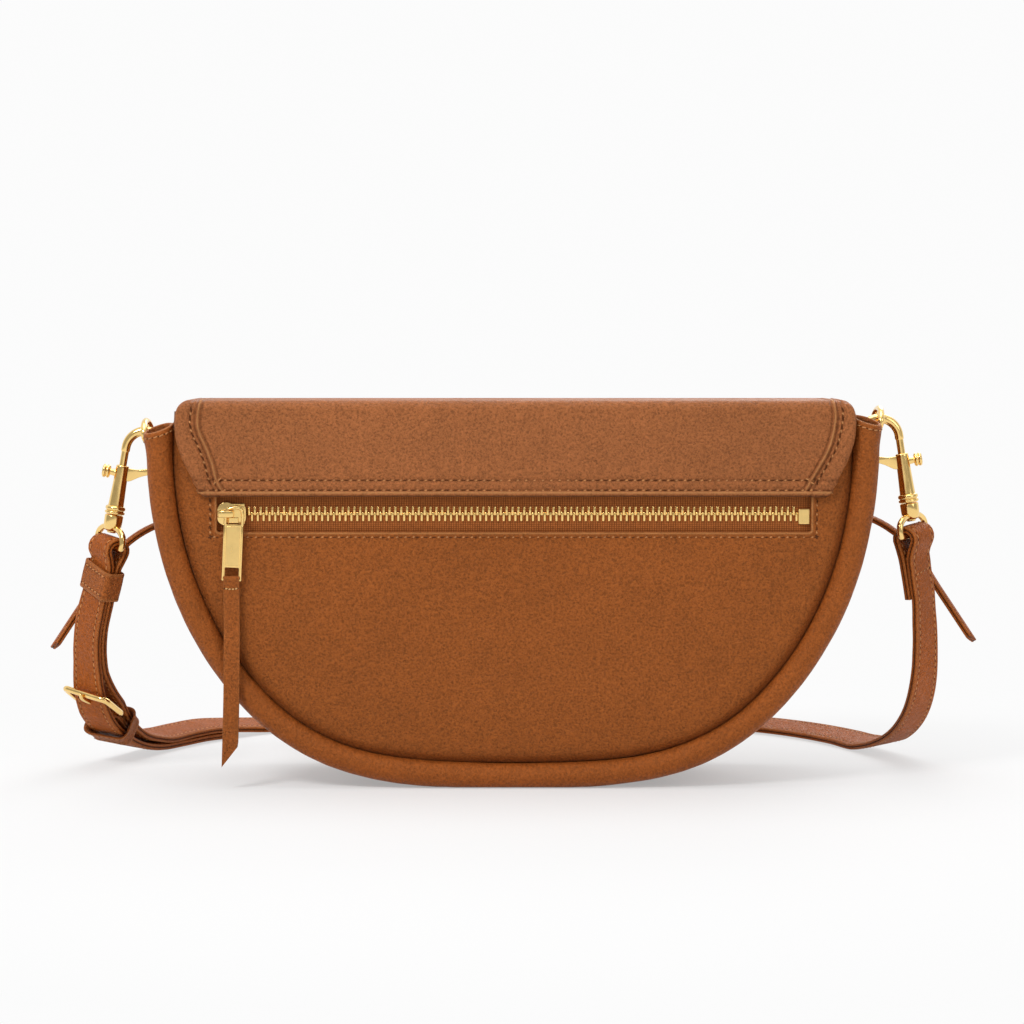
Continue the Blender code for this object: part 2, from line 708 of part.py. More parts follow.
def make_stops():
    """The square box stop at the right end."""
    left = teeth_end() + GAP
    half = STOP_THICK / 2
    size = STOP_HEIGHT / 2
    corners = [(left, ZIP_HEIGHT - size), (left + STOP_LENGTH, ZIP_HEIGHT - size),
               (left + STOP_LENGTH, ZIP_HEIGHT + size), (left, ZIP_HEIGHT + size)]
    plate("zip_bottom_stop", [rounded(corners, size / 5, 2)], 2 * half,
          upright(comb_middle() - TAPE_THICK / 2), GOLD_LOOK)


def slider_front():
    """The y of the front plate's back face, just outside the teeth."""
    return comb_middle() - TEETH_THICK / 2 - GAP


def slider_outline():
    """A slider plate: broad at its left shoulder, drawn in at the waist, square at the mouth."""
    left, right = slider_left(), slider_left() + SLIDER_LENGTH
    half = SLIDER_HEIGHT / 2
    waist = half * SLIDER_WAIST_SHARE
    third = SLIDER_LENGTH / 3
    top = [(left, half * 0.45), (left + third / 3, half * 0.8), (left + third, half),
           (left + 1.6 * third, half * 0.93), (left + 2.2 * third, waist), (right, waist * 1.04)]
    return [(x, ZIP_HEIGHT + v) for x, v in top] + [(x, ZIP_HEIGHT - v) for x, v in reversed(top)]


def bridge_left():
    return slider_left() + BRIDGE_START


def bridge_bar_face():
    """The y of the underside of the bridge's bar."""
    return slider_front() - SLIDER_PLATE - BRIDGE_RISE


def make_slider():
    face = slider_front()
    slider = plate("slider", [slider_outline()], SLIDER_PLATE, upright(face - SLIDER_PLATE / 2), GOLD_LOOK)
    left = bridge_left()
    foot = face - SLIDER_PLATE / 2
    bar = bridge_bar_face()
    arch = [(left, foot), (left + BRIDGE_FOOT, foot), (left + BRIDGE_FOOT, bar),
            (left + BRIDGE_SPAN - BRIDGE_FOOT, bar), (left + BRIDGE_SPAN - BRIDGE_FOOT, foot),
            (left + BRIDGE_SPAN, foot), (left + BRIDGE_SPAN, bar - BRIDGE_BAR / 2),
            (left + BRIDGE_SPAN - BRIDGE_BAR / 2, bar - BRIDGE_BAR), (left + BRIDGE_BAR / 2, bar - BRIDGE_BAR),
            (left, bar - BRIDGE_BAR / 2)]
    lying = frame((0, 0, ZIP_HEIGHT), (1, 0, 0), (0, 1, 0), (0, 0, 1))
    boolean(slider, plate("slider_bridge", [arch], BRIDGE_HEIGHT, lying, None), "UNION")
    lip_inner = TEETH_HALF + BEAD_WIDTH / 2 + GAP
    lip_low, lip_high = face - SLIDER_PLATE / 2, face + SLIDER_LIP_DEPTH
    lip_left = slider_left() + SLIDER_LENGTH / 2
    lip_right = slider_left() + SLIDER_LENGTH - GAP
    for name, side in (("slider_lip_upper", 1), ("slider_lip_lower", -1)):
        near = ZIP_HEIGHT + side * lip_inner
        far = ZIP_HEIGHT + side * (lip_inner + SLIDER_LIP)
        lip = block(name, (lip_left, lip_low, min(near, far)), (lip_right, lip_high, max(near, far)), None)
        boolean(slider, lip, "UNION")
    back = comb_middle() + TEETH_THICK / 2 + GAP
    plate("slider_back_plate", [slider_outline()], SLIDER_BACK_PLATE,
          upright(back + SLIDER_BACK_PLATE / 2), GOLD_LOOK)


def puller_left():
    """The puller's left arm stands in the middle of the bridge's opening."""
    opening = BRIDGE_SPAN - 2 * BRIDGE_FOOT
    return bridge_left() + BRIDGE_FOOT + (opening - PULLER_ARM) / 2


def puller_plane():
    return slider_front() - SLIDER_PLATE - PULLER_LIFT


def puller_pivot():
    foot = bridge_left() + BRIDGE_SPAN - BRIDGE_FOOT / 2
    return (foot, puller_plane(), ZIP_HEIGHT)


def puller_levels():
    """Heights of the puller: top, top of its plate, foot of its plate, its foot."""
    top = ZIP_HEIGHT + PULLER_EYE_ABOVE + PULLER_ARM
    plate_top = ZIP_HEIGHT - PULLER_PLATE_TOP_DROP
    plate_foot = plate_top - PULLER_PLATE_LENGTH
    return top, plate_top, plate_foot, plate_foot - PULLER_SLOT - PULLER_BAR


def make_puller():
    left = puller_left()
    right = left + PULLER_WIDTH
    top, plate_top, plate_foot, foot = puller_levels()
    outer = rounded([(left, foot), (right, foot), (right, top), (left, top)], PULLER_ARM)
    outer_eye = [(left + PULLER_ARM, plate_top), (right - PULLER_ARM, plate_top),
                 (right - PULLER_ARM, top - PULLER_ARM), (left + PULLER_ARM, top - PULLER_ARM)]
    slot = [(left + PULLER_ARM, foot + PULLER_BAR), (right - PULLER_ARM, foot + PULLER_BAR),
            (right - PULLER_ARM, plate_foot), (left + PULLER_ARM, plate_foot)]
    puller = plate("puller", [outer, rounded(outer_eye, PULLER_ARM / 2), rounded(slot, PULLER_ARM / 3, 2)],
                   PULLER_THICK, upright(puller_plane()), GOLD_LOOK)
    put_origin(puller, puller_pivot())


def tab_axis():
    """The axis of the puller's bottom bar, which the leather tab hangs on."""
    foot = puller_levels()[3]
    return (puller_left() + PULLER_WIDTH / 2, puller_plane(), foot + PULLER_BAR / 2)


def strip_outline(path, thickness):
    """The closed outline of a strip of this thickness along a flat path."""
    left, right = [], []
    for index, here in enumerate(path):
        before = Vector(path[max(index - 1, 0)])
        after = Vector(path[min(index + 1, len(path) - 1)])
        along = (after - before).normalized()
        across = Vector((-along.y, along.x)) * thickness / 2
        left.append(tuple(Vector(here) + across))
        right.append(tuple(Vector(here) - across))
    return left + right[::-1]


def arc(centre, radius, start, end, steps):
    points = []
    for step in range(steps + 1):
        angle = math.radians(start + (end - start) * step / steps)
        points.append((centre[0] + radius * math.cos(angle), centre[1] + radius * math.sin(angle)))
    return points


def make_pull_tab():
    """A leather strip folded round the puller's bar and sewn flat, cut on a slant at its foot."""
    x, y, z = tab_axis()
    bar = math.hypot(PULLER_BAR, PULLER_THICK) / 2
    inner = bar + TAB_LOOP_GAP
    outer = inner + TAB_THICK
    half = TAB_THICK + PIN_GAP / 2
    neck = z - outer - TAB_THICK
    length = neck - TAB_FOOT
    down = [(y - share_out * TAB_BEND, neck - share * length) for share, share_out in TAB_BEND_SHARES]
    back = [(place + half, height) for place, height in down]
    front = [(place - half, height) for place, height in down]
    contour = front[::-1] + arc((y, z), outer, 200, -20, 10) + back
    sideways = frame((x, 0, 0), (0, 1, 0), (0, 0, 1), (1, 0, 0))
    hole = arc((y, z), inner, 0, 330, 11)
    tab = plate("pull_tab", [contour, hole], TAB_WIDTH, sideways, LEATHER_LOOK)
    wide = TAB_WIDTH
    end = TAB_FOOT
    slope = TAB_SLANT / TAB_WIDTH
    corner = [(x - wide, end - wide * slope / 2), (x + wide, end + wide * slope * 1.5), (x + wide, end - wide * slope)]
    boolean(tab, plate("pull_tab_slant", [corner], 4 * outer, upright(y - TAB_BEND), None))
    put_origin(tab, tab_axis())


# Rings and swivel hooks

def ring_bar(side):
    """Place of a ring's straight bar: side is -1 for left and 1 for right."""
    height = RING_BAR_LEFT if side < 0 else RING_BAR_RIGHT
    out = seam_x(height, GUSSET_INNER + GUSSET_THICK) + RING_REACH
    return Vector((side * out, RING_SHIFT, height))


def make_ring(name, side):
    bar = ring_bar(side)
    lean = math.radians(RING_LEAN)
    up = Vector((side * math.sin(lean), 0, math.cos(lean)))
    points = [bar + Vector((0, -RING_HALF_WIDTH + RING_CORNER, 0)), bar + Vector((0, RING_HALF_WIDTH - RING_CORNER, 0))]
    for step in range(RING_STEPS + 1):
        angle = math.pi * step / RING_STEPS
        rise = RING_CORNER + (RING_RISE - RING_CORNER) * math.sin(angle)
        points.append(bar + Vector((0, RING_HALF_WIDTH * math.cos(angle), 0)) + up * rise)
    ring = tube(name, points, RING_WIRE, GOLD_LOOK, 2, closed=True)
    put_origin(ring, bar)


def make_ring_tab(name, side):
    """A leather tab sewn to the gusset and folded round the ring's bar."""
    bar = ring_bar(side)
    centre = (abs(bar.x), bar.z)
    radius = RING_WIRE + TAB_LOOP_GAP + RING_TAB_THICK / 2
    face = GUSSET_INNER + GUSSET_THICK + GAP
    inner = face + RING_TAB_THICK / 2
    outer = inner + RING_TAB_THICK + GAP

    def on_gusset(drop, offset):
        height = bar.z - drop
        return (seam_x(height, offset), height)

    path = [on_gusset(RING_TAB_LENGTH, outer), on_gusset(RING_TAB_BEND * 1.4, outer),
            on_gusset(RING_TAB_BEND, outer)]
    path += arc(centre, radius, -60, 205, 9)
    path += [on_gusset(RING_TAB_BEND * 0.75, inner), on_gusset(RING_TAB_BEND, inner),
             on_gusset(RING_TAB_LENGTH, inner)]
    outline = [(side * x, z) for x, z in strip_outline(path, RING_TAB_THICK)]
    plate(name, [outline], RING_TAB_WIDTH, upright(0), LEATHER_LOOK)


def hook_frame(side):
    """The hook's own frame: its mouth holds the ring's bar, and it leans outwards at its foot."""
    lean = math.radians(HOOK_LEAN_LEFT if side < 0 else HOOK_LEAN_RIGHT)
    up = Vector((-side * math.sin(lean), 0, math.cos(lean)))
    inward = Vector((-side * math.cos(lean), 0, -math.sin(lean)))
    bar = ring_bar(side)
    hang = SHAFT_TOP + CLAW_RADIUS - SHAFT_RADIUS - RING_WIRE - PIN_GAP
    mouth = up * hang + inward * CLAW_RADIUS
    origin = Vector((bar.x - mouth.x, HOOK_PLANE, bar.z - mouth.z))
    return frame(origin, inward, up.cross(inward), up)


def claw_path():
    points = [(0, 0, BORE_TOP + (BARREL_LENGTH - BORE_TOP) / 2), (0, 0, SHAFT_TOP)]
    shares = [1.0, 1.0]
    for step in range(1, CLAW_STEPS + 1):
        angle = math.pi * (1 - step / CLAW_STEPS)
        points.append((CLAW_RADIUS * (1 + math.cos(angle)), 0, SHAFT_TOP + CLAW_RADIUS * math.sin(angle)))
        shares.append(1.0)
    points.append((2 * CLAW_RADIUS, 0, CLAW_TIP))
    shares.append(CLAW_TIP_RADIUS / SHAFT_RADIUS)
    return points, shares


def make_hook_body(name, place):
    step = COLLAR_HALF / 2
    profile = [(0, BARREL_LENGTH), (BARREL_RADIUS - step, BARREL_LENGTH),
               (BARREL_RADIUS, BARREL_LENGTH - step), (BARREL_RADIUS, COLLAR_HALF + step),
               (COLLAR_RADIUS, COLLAR_HALF), (COLLAR_RADIUS, -step), (COLLAR_RADIUS - step, -COLLAR_HALF),
               (0, -COLLAR_HALF)]
    body = turned(name, profile, GOLD_LOOK, place)
    points, shares = claw_path()
    boolean(body, tube(name + "_claw", points, SHAFT_RADIUS, None, 3, shares=shares, matrix=place), "UNION")
    hole = RIVET_RADIUS + PIN_GAP
    below = -COLLAR_HALF - OVERRUN
    bore = turned(name + "_bore", [(0, BORE_TOP), (BORE_RADIUS, BORE_TOP), (BORE_RADIUS, BORE_FLOOR),
                                   (hole, BORE_FLOOR), (hole, below), (0, below)], None, place)
    boolean(body, bore)
    reach = COLLAR_RADIUS + OVERRUN
    slot = block(name + "_slot", (-reach, -SLOT_WIDTH / 2, SLOT_FOOT), (reach, SLOT_WIDTH / 2, BORE_TOP - GAP),
                 None, place)
    boolean(body, slot)
    return body


def make_rivet(name, place):
    """The rivet that the eye turns on: one head in the barrel, the other under the cup."""
    top = BORE_FLOOR + GAP + RIVET_HEAD_THICK
    foot = CUP_FOOT - PIN_GAP
    edge = RIVET_HEAD_THICK / 3
    profile = [(0, top), (RIVET_HEAD - edge, top), (RIVET_HEAD, top - edge), (RIVET_HEAD, BORE_FLOOR + GAP),
               (RIVET_RADIUS, BORE_FLOOR + GAP), (RIVET_RADIUS, foot), (RIVET_HEAD, foot),
               (RIVET_HEAD, foot - edge), (RIVET_HEAD - edge, foot - RIVET_HEAD_THICK),
               (0, foot - RIVET_HEAD_THICK)]
    turned(name, profile, GOLD_LOOK, place, 12)


def make_gate(name, place):
    """The sliding gate: a plug in the bore, a thumb knob outside, a wing that closes the claw."""
    plug = turned(name, [(0, GATE_PLUG_TOP), (GATE_PLUG_RADIUS, GATE_PLUG_TOP),
                         (GATE_PLUG_RADIUS, GATE_PLUG_FOOT), (0, GATE_PLUG_FOOT)], GOLD_LOOK, place, 12)
    low, high = GATE_PLUG_FOOT, GATE_PLUG_TOP
    far = 2 * CLAW_RADIUS
    tip = GATE_TIP_TOP
    deep = tip - high
    wing = [(0, low), (BARREL_RADIUS + GAP, low - GATE_WING_DROP), (far * 0.32, low - GATE_WING_DROP * 0.3),
            (far * 0.6, low + deep * 0.62), (far * 0.9, high + deep * 0.15), (far * 1.06, high + deep * 0.32),
            (far * 1.09, tip - deep * 0.1), (far * 0.88, tip), (far * 0.55, high + deep * 0.45),
            (BARREL_RADIUS + GAP, high), (0, high)]
    standing = place @ frame((0, 0, 0), (1, 0, 0), (0, 0, 1), (0, -1, 0))
    boolean(plug, plate(name + "_wing", [wing], 2 * GATE_HALF_THICK, standing, None), "UNION")
    stem_middle = (low + high) / 2
    stem = block(name + "_stem", (-KNOB_OUT + KNOB_THICK / 2, -GATE_HALF_THICK, stem_middle - KNOB_STEM),
                 (0, GATE_HALF_THICK, stem_middle + KNOB_STEM), None, place)
    boolean(plug, stem, "UNION")
    outwards = place @ frame((-KNOB_OUT, 0, stem_middle), (0, 0, 1), (0, 1, 0), (-1, 0, 0))
    edge = KNOB_THICK / 4
    knob = turned(name + "_knob", [(0, 0), (KNOB_RADIUS - edge, 0), (KNOB_RADIUS, -edge),
                                   (KNOB_RADIUS, -KNOB_THICK + edge), (KNOB_RADIUS - edge, -KNOB_THICK),
                                   (0, -KNOB_THICK)], None, outwards, 14)
    boolean(plug, knob, "UNION")


def make_spring(name, place):
    foot = BORE_FLOOR + GAP + RIVET_HEAD_THICK + GAP + SPRING_WIRE
    top = GATE_PLUG_FOOT - GAP - 2 * SPRING_WIRE
    count = SPRING_TURNS * SPRING_POINTS
    points = []
    for index in range(count + 1):
        angle = 2 * math.pi * index / SPRING_POINTS
        height = foot + (top - foot) * index / count
        points.append((SPRING_RADIUS * math.cos(angle), SPRING_RADIUS * math.sin(angle), height))
    tube(name, points, SPRING_WIRE, STEEL_LOOK, 0, matrix=place)


def eye_direction(side):
    """The direction of the eye's bar, square to the hook's axis, in world axes."""
    flat = Vector((-side * EYE_TURN, -math.sqrt(1 - EYE_TURN ** 2), 0))
    up = hook_frame(side).to_3x3() @ Vector((0, 0, 1))
    return (flat - up * flat.dot(up)).normalized()


def eye_bar(side):
    return hook_frame(side) @ Vector((0, 0, -EYE_DROP))


def make_eye(name, side):
    place = hook_frame(side)
    hole = RIVET_RADIUS + PIN_GAP
    edge = PIN_GAP * 4
    profile = [(hole, CUP_TOP), (CUP_RADIUS - edge, CUP_TOP), (CUP_RADIUS, CUP_TOP - edge),
               (CUP_RADIUS, CUP_FOOT + 2 * edge), (CUP_RADIUS - 2 * edge, CUP_FOOT), (hole, CUP_FOOT)]
    eye = turned(name, profile, GOLD_LOOK, place)
    across = place.to_3x3().inverted() @ eye_direction(side)
    wide = EYE_HALF_WIDTH
    shoulder = CUP_FOOT + EYE_WIRE
    half_path = [(CUP_RADIUS * 0.72, shoulder), (CUP_RADIUS * 1.35, shoulder - EYE_WIRE * 0.2),
                 (wide * 0.86, CUP_FOOT - EYE_WIRE * 0.9), (wide, CUP_FOOT - EYE_WIRE * 2.4),
                 (wide, -EYE_DROP + EYE_WIRE * 0.9), (wide - EYE_WIRE, -EYE_DROP)]
    right = [across * u + Vector((0, 0, v)) for u, v in half_path]
    left = [across * -u + Vector((0, 0, v)) for u, v in half_path]
    points = right + left[::-1]
    loop = tube(name + "_loop", points, EYE_WIRE, None, 2, matrix=place)
    boolean(eye, loop, "UNION")


def make_side_hardware():
    for label, side in (("left", -1), ("right", 1)):
        place = hook_frame(side)
        make_ring("ring_" + label, side)
        make_ring_tab("ring_tab_" + label, side)
        make_hook_body("hook_" + label, place)
        make_rivet("hook_rivet_" + label, place)
        make_gate("hook_gate_" + label, place)
        make_spring("hook_spring_" + label, place)
        make_eye("hook_eye_" + label, side)


# Strap route

def blend_value(values, station):
    low = min(int(station), len(values) - 2)
    share = station - low
    return values[low] + (values[low + 1] - values[low]) * share


def rest_height(layers):
    """Height of the middle of some layers that lie banked on the ground."""
    return GROUND_GAP + STRAP_BANK * STRAP_WIDTH / 2 + layers * PAIR_OFFSET


def leg_centres(side):
    """Centre line of a leg, or of a pair of legs, from the eye to the middle of the strap."""
    bar = eye_bar(side)
    shares = LEFT_ROUTE_SHARES if side < 0 else RIGHT_ROUTE_SHARES
    doubled = TAIL_END_STATION if side < 0 else 0
    points = []
    for index, (x, y, z, _) in enumerate(shares):
        rest = rest_height(2 if index < doubled else 1)
        points.append(Vector((bar.x * x, bar.y + y * STRAP_REACH, max(bar.z * z, rest))))
    points.append(Vector((0, bar.y + STRAP_REACH, rest_height(1))))
    return points


def leg_widths(side):
    """Width direction at each station: it turns and banks as the strap lies down."""
    shares = LEFT_ROUTE_SHARES if side < 0 else RIGHT_ROUTE_SHARES
    found = []
    for _, _, z, across in shares:
        bank = STRAP_BANK if z == 0 else 0
        found.append(Vector((-side * across, -math.sqrt(1 - across ** 2), -bank)))
    found.append(Vector((0, -1, -STRAP_BANK)))
    return found


def leg_frame(side, station):
    """Centre, direction away from the eye, width direction and outward direction at a station."""
    points = leg_centres(side)
    low = min(int(station), len(points) - 2)
    share = station - low
    before = points[max(low - 1, 0)]
    after = points[min(low + 2, len(points) - 1)]
    start, end = points[low], points[low + 1]
    centre = hermite(before, start, end, after, share)
    layers = 2 if side < 0 and station < TAIL_END_STATION else 1
    centre.z = max(centre.z, rest_height(layers))
    step = 0.02
    ahead = hermite(before, start, end, after, share + step)
    behind = hermite(before, start, end, after, share - step)
    along = (ahead - behind).normalized()
    widths = leg_widths(side)
    across = widths[low].lerp(widths[low + 1], share)
    across = (across - along * across.dot(along)).normalized()
    outward = along.cross(across) * -side
    return centre, along, across, outward


def hermite(before, start, end, after, share):
    """A smooth curve through start and end that heeds the points before and after them."""
    first = (start - before).length or (end - start).length
    middle = (end - start).length
    last = (after - end).length or middle
    slope = (end - start) / middle
    at_start = slope if before == start else ((start - before) / first * middle + slope * first) / (first + middle)
    at_end = slope if after == end else ((after - end) / last * middle + slope * last) / (last + middle)
    t = share
    return (start * (2 * t ** 3 - 3 * t ** 2 + 1) + at_start * middle * (t ** 3 - 2 * t ** 2 + t)
            + end * (3 * t ** 2 - 2 * t ** 3) + at_end * middle * (t ** 3 - t ** 2))


def leg_stations(side, first, last, offsets):
    """Strap stations at an outward offset from the leg's centre line: place and width direction."""
    stations = []
    step = 0.5
    count = max(1, round((last - first) / step))
    for index in range(count + 1):
        station = first + (last - first) * index / count
        centre, _, across, outward = leg_frame(side, station)
        stations.append((centre + outward * blend_value(offsets, station), across))
    return stations


def loop_stations(side):
    """The strap over an eye's bar, from its inner side over the top to its outer side."""
    bar = eye_bar(side)
    across = eye_direction(side)
    inward = (Vector((0, 0, 1)).cross(across) * -side).normalized()
    rise = across.cross(inward) * -side
    middle = bar + rise * (STRAP_LOOP_TOP - STRAP_LOOP_RADIUS)
    stations = []
    for step in range(STRAP_LOOP_STEPS + 1):
        angle = math.radians(STRAP_LOOP_FROM + (STRAP_LOOP_TO - STRAP_LOOP_FROM) * step / STRAP_LOOP_STEPS)
        place = middle + inward * math.cos(angle) * STRAP_LOOP_RADIUS
        place = place + rise * math.sin(angle) * STRAP_LOOP_RADIUS
        stations.append((place, across))
    return stations


def outer_offsets():
    """Outward offset of the left outer leg and of its tail, station by station."""
    pair = PAIR_OFFSET
    return [pair * 1.15, pair, pair, pair, pair, pair * 1.1, (pair + BUCKLE_SPREAD_OUT) / 2 + GAP,
            BUCKLE_SPREAD_OUT, CHAPE_SPREAD, pair * 1.4, pair, pair, pair]


def inner_offsets():
    """Outward offset, below zero, of the left inner leg, which runs on as the main strap."""
    pair = PAIR_OFFSET
    return [-pair * 1.15, -pair, -pair, -pair, -pair, -pair * 1.1, -(pair + BUCKLE_SPREAD_IN) / 2,
            -BUCKLE_SPREAD_IN, -CHAPE_SPREAD, -pair * 1.4, -pair, -pair, 0, 0, 0, 0]


def right_offsets(sign):
    pair = PAIR_OFFSET * sign
    return [pair * 1.15, pair, pair, pair * 0.3 if sign > 0 else pair] + [0] * 11


def smooth_stations(stations):
    """Add stations between those that lie far apart, on a smooth curve."""
    made = []
    count = len(stations)
    for index in range(count - 1):
        start, end = stations[index], stations[index + 1]
        before = stations[max(index - 1, 0)][0]
        after = stations[min(index + 2, count - 1)][0]
        pieces = max(1, round((end[0] - start[0]).length / STRAP_SAMPLE))
        for piece in range(pieces):
            share = piece / pieces
            place = hermite(before, start[0], end[0], after, share)
            made.append((place, start[1].lerp(end[1], share)))
    made.append(stations[-1])
    return made


def ribbon(name, stations, width, thickness, look, slant=0.0):
    """A flat strap lofted along stations; slant cuts its last end on a slope."""
    work = bmesh.new()
    rings = []
    count = len(stations)
    for index, (place, across) in enumerate(stations):
        before = stations[max(index - 1, 0)][0]
        after = stations[min(index + 1, count - 1)][0]
        along = (after - before).normalized()
        across = (across - along * across.dot(along)).normalized()
        outward = along.cross(across)
        ring = []
        for u, v in ((-1, -1), (1, -1), (1, 1), (-1, 1)):
            lean = along * slant / 2 * u if index == count - 1 else Vector((0, 0, 0))
            ring.append(work.verts.new(place + across * u * width / 2 + outward * v * thickness / 2 + lean))
        rings.append(ring)
    for first, second in zip(rings, rings[1:]):
        for side in range(4):
            nxt = (side + 1) % 4
            work.faces.new((first[side], first[nxt], second[nxt], second[side]))
    work.faces.new(rings[0][::-1])
    work.faces.new(rings[-1])
    bmesh.ops.recalc_face_normals(work, faces=work.faces)
    mesh = bpy.data.meshes.new(name)
    work.to_mesh(mesh)
    work.free()
    return add_object(name, mesh, look)


def make_strap():
    """One long strap: sewn end, right eye, ground, left eye, buckle, tail."""
    fold_end = RIGHT_FOLD_END_STATION
    last_right = len(RIGHT_ROUTE_SHARES)
    last_left = len(LEFT_ROUTE_SHARES)
    stations = leg_stations(1, 0, fold_end, right_offsets(-1))[::-1]
    stations += loop_stations(1)
    stations += leg_stations(1, 0, last_right, right_offsets(1))
    stations += leg_stations(-1, 0, last_left, inner_offsets())[::-1][1:]
    stations += loop_stations(-1)
    stations += leg_stations(-1, 0, TAIL_END_STATION, outer_offsets())
    strap = ribbon("strap", smooth_stations(stations), STRAP_WIDTH, STRAP_THICK, LEATHER_LOOK)
    boolean(strap, prong_hole())


# Buckle and keepers

def outer_leg(station):
    centre, along, across, outward = leg_frame(-1, station)
    return centre + outward * blend_value(outer_offsets(), station), along, across, outward


def front_bar():
    place, _, across, outward = outer_leg(FRONT_BAR_STATION)
    return place + outward * (STRAP_THICK / 2 + BUCKLE_BAR_GAP + BUCKLE_WIRE), across


def chape_radius():
    return BUCKLE_WIRE + TAB_LOOP_GAP + CHAPE_THICK / 2


def heel_bar():
    place, _, across, outward = outer_leg(HEEL_BAR_STATION)
    return place - outward * (STRAP_THICK / 2 + BUCKLE_BAR_GAP + chape_radius() + CHAPE_THICK / 2), across


def buckle_frame():
    """Centre of the buckle, its width direction, heel-to-front direction and normal."""
    front, across_front = front_bar()
    heel, across_heel = heel_bar()
    across = (across_front + across_heel).normalized()
    rise = front - heel
    rise = rise - across * rise.dot(across)
    return heel, across, rise, across.cross(rise).normalized()


def make_buckle():
    heel, across, rise, _ = buckle_frame()
    half = STRAP_WIDTH / 2 + BUCKLE_SIDE_GAP + BUCKLE_WIRE
    length = rise.length
    corners = rounded([(-half, 0), (half, 0), (half, length), (-half, length)], BUCKLE_CORNER)
    up = rise.normalized()
    points = [heel + across * u + up * v for u, v in corners]
    tube("buckle_frame", points, BUCKLE_WIRE, GOLD_LOOK, 2, closed=True)


def prong_hole():
    """A slot in the outer leg, which the prong comes through."""
    place, along, across, outward = outer_leg(HEEL_BAR_STATION)
    _, _, rise, _ = buckle_frame()
    box_frame = frame(place, across, outward, across.cross(outward))
    reach = STRAP_THICK
    direction = 1 if across.cross(outward).dot(along) < 0 else -1
    below, above = PRONG_SLOT_SHARES
    low, high = sorted((-direction * rise.length * below, direction * rise.length * above))
    return block("prong_hole", (-PRONG_SLOT_WIDTH / 2, -reach, low), (PRONG_SLOT_WIDTH / 2, reach, high),
                 None, box_frame)


def make_prong():
    """The prong: an eye round the heel bar and a pin that rests on the front bar."""
    heel, across, rise, normal = buckle_frame()
    if normal.dot(outer_leg(FRONT_BAR_STATION)[3]) < 0:
        normal = -normal
    up = rise.normalized()
    inner = BUCKLE_WIRE + PRONG_EYE_GAP
    outer = inner + PRONG_RADIUS * 1.2
    eye_place = frame(heel, up, across.cross(up), across)
    circle = arc((0, 0), outer, 0, 330, 11)
    hole = arc((0, 0), inner, 0, 330, 11)
    prong = plate("buckle_prong", [circle, hole], PRONG_RADIUS * 2, eye_place, GOLD_LOOK)
    lift = BUCKLE_WIRE + GAP / 2 + PRONG_RADIUS
    middle = (inner + outer) / 2
    points = [heel + normal * middle + up * 0.0, heel + normal * lift * 1.35 + up * rise.length * 0.25,
              heel + normal * lift * 1.3 + up * rise.length * 0.6, heel + normal * lift + up * rise.length,
              heel + normal * lift * 0.7 + up * (rise.length + 2 * BUCKLE_WIRE)]
    pin = tube("buckle_prong_pin", points, PRONG_RADIUS, None, 2, shares=(1, 1, 1, 0.95, 0.8))
    boolean(prong, pin, "UNION")
    put_origin(prong, heel)


def make_chape():
    """A strip sewn to the inner leg and folded round the buckle's heel bar."""
    heel, across, _, _ = buckle_frame()
    _, along, _, outward = outer_leg(HEEL_BAR_STATION)
    radius = chape_radius()
    near = STRAP_THICK / 2 + 2 * GAP + CHAPE_THICK / 2
    stations_inner, stations_outer = [], []
    for station in (HEEL_BAR_STATION + 0.7, FIXED_KEEPER_STATION, CHAPE_FOOT_STATION):
        centre, _, width, out = leg_frame(-1, station)
        leg = centre + out * blend_value(inner_offsets(), station)
        stations_inner.append((leg + out * near, width))
        stations_outer.append((leg + out * (near + CHAPE_THICK + GAP), width))
    loop = []
    for step in range(9):
        angle = math.radians(-55 + 290 * step / 8)
        place = heel - outward * math.cos(angle) * radius - along * math.sin(angle) * radius
        loop.append((place, across))
    stations = stations_inner[::-1] + loop + stations_outer
    chape = ribbon("chape", stations, CHAPE_WIDTH, CHAPE_THICK, LEATHER_LOOK)
    reach = radius + CHAPE_THICK
    slot_place = frame(heel, across, outward, across.cross(outward))
    slot = block("chape_slot", (-CHAPE_SLOT / 2, -reach, -reach * 1.5), (CHAPE_SLOT / 2, reach, reach * 1.5),
                 None, slot_place)
    boolean(chape, slot)


def make_keeper(name, station, low, high, length):
    """A leather loop round the legs: low and high are the outward offsets of what it holds."""
    centre, along, across, outward = leg_frame(-1, station)
    half = STRAP_WIDTH / 2 + KEEPER_GAP
    inner = [(-half, low - KEEPER_GAP), (half, low - KEEPER_GAP), (half, high + KEEPER_GAP),
             (-half, high + KEEPER_GAP)]
    wall = KEEPER_WALL
    outer = [(-half - wall, low - KEEPER_GAP - wall), (half + wall, low - KEEPER_GAP - wall),
             (half + wall, high + KEEPER_GAP + wall), (-half - wall, high + KEEPER_GAP + wall)]
    place = frame(centre, across, outward, across.cross(outward))
    keeper = plate(name, [rounded(outer, wall), inner], length, place, LEATHER_LOOK)
    put_origin(keeper, centre)


def make_keepers():
    pair = PAIR_OFFSET + STRAP_THICK / 2
    make_keeper("sliding_keeper", KEEPER_STATION, -pair, pair, KEEPER_LENGTH)
    spread = CHAPE_SPREAD + STRAP_THICK / 2 + 2 * GAP
    make_keeper("fixed_keeper", FIXED_KEEPER_STATION, -spread, spread, FIXED_KEEPER_LENGTH)


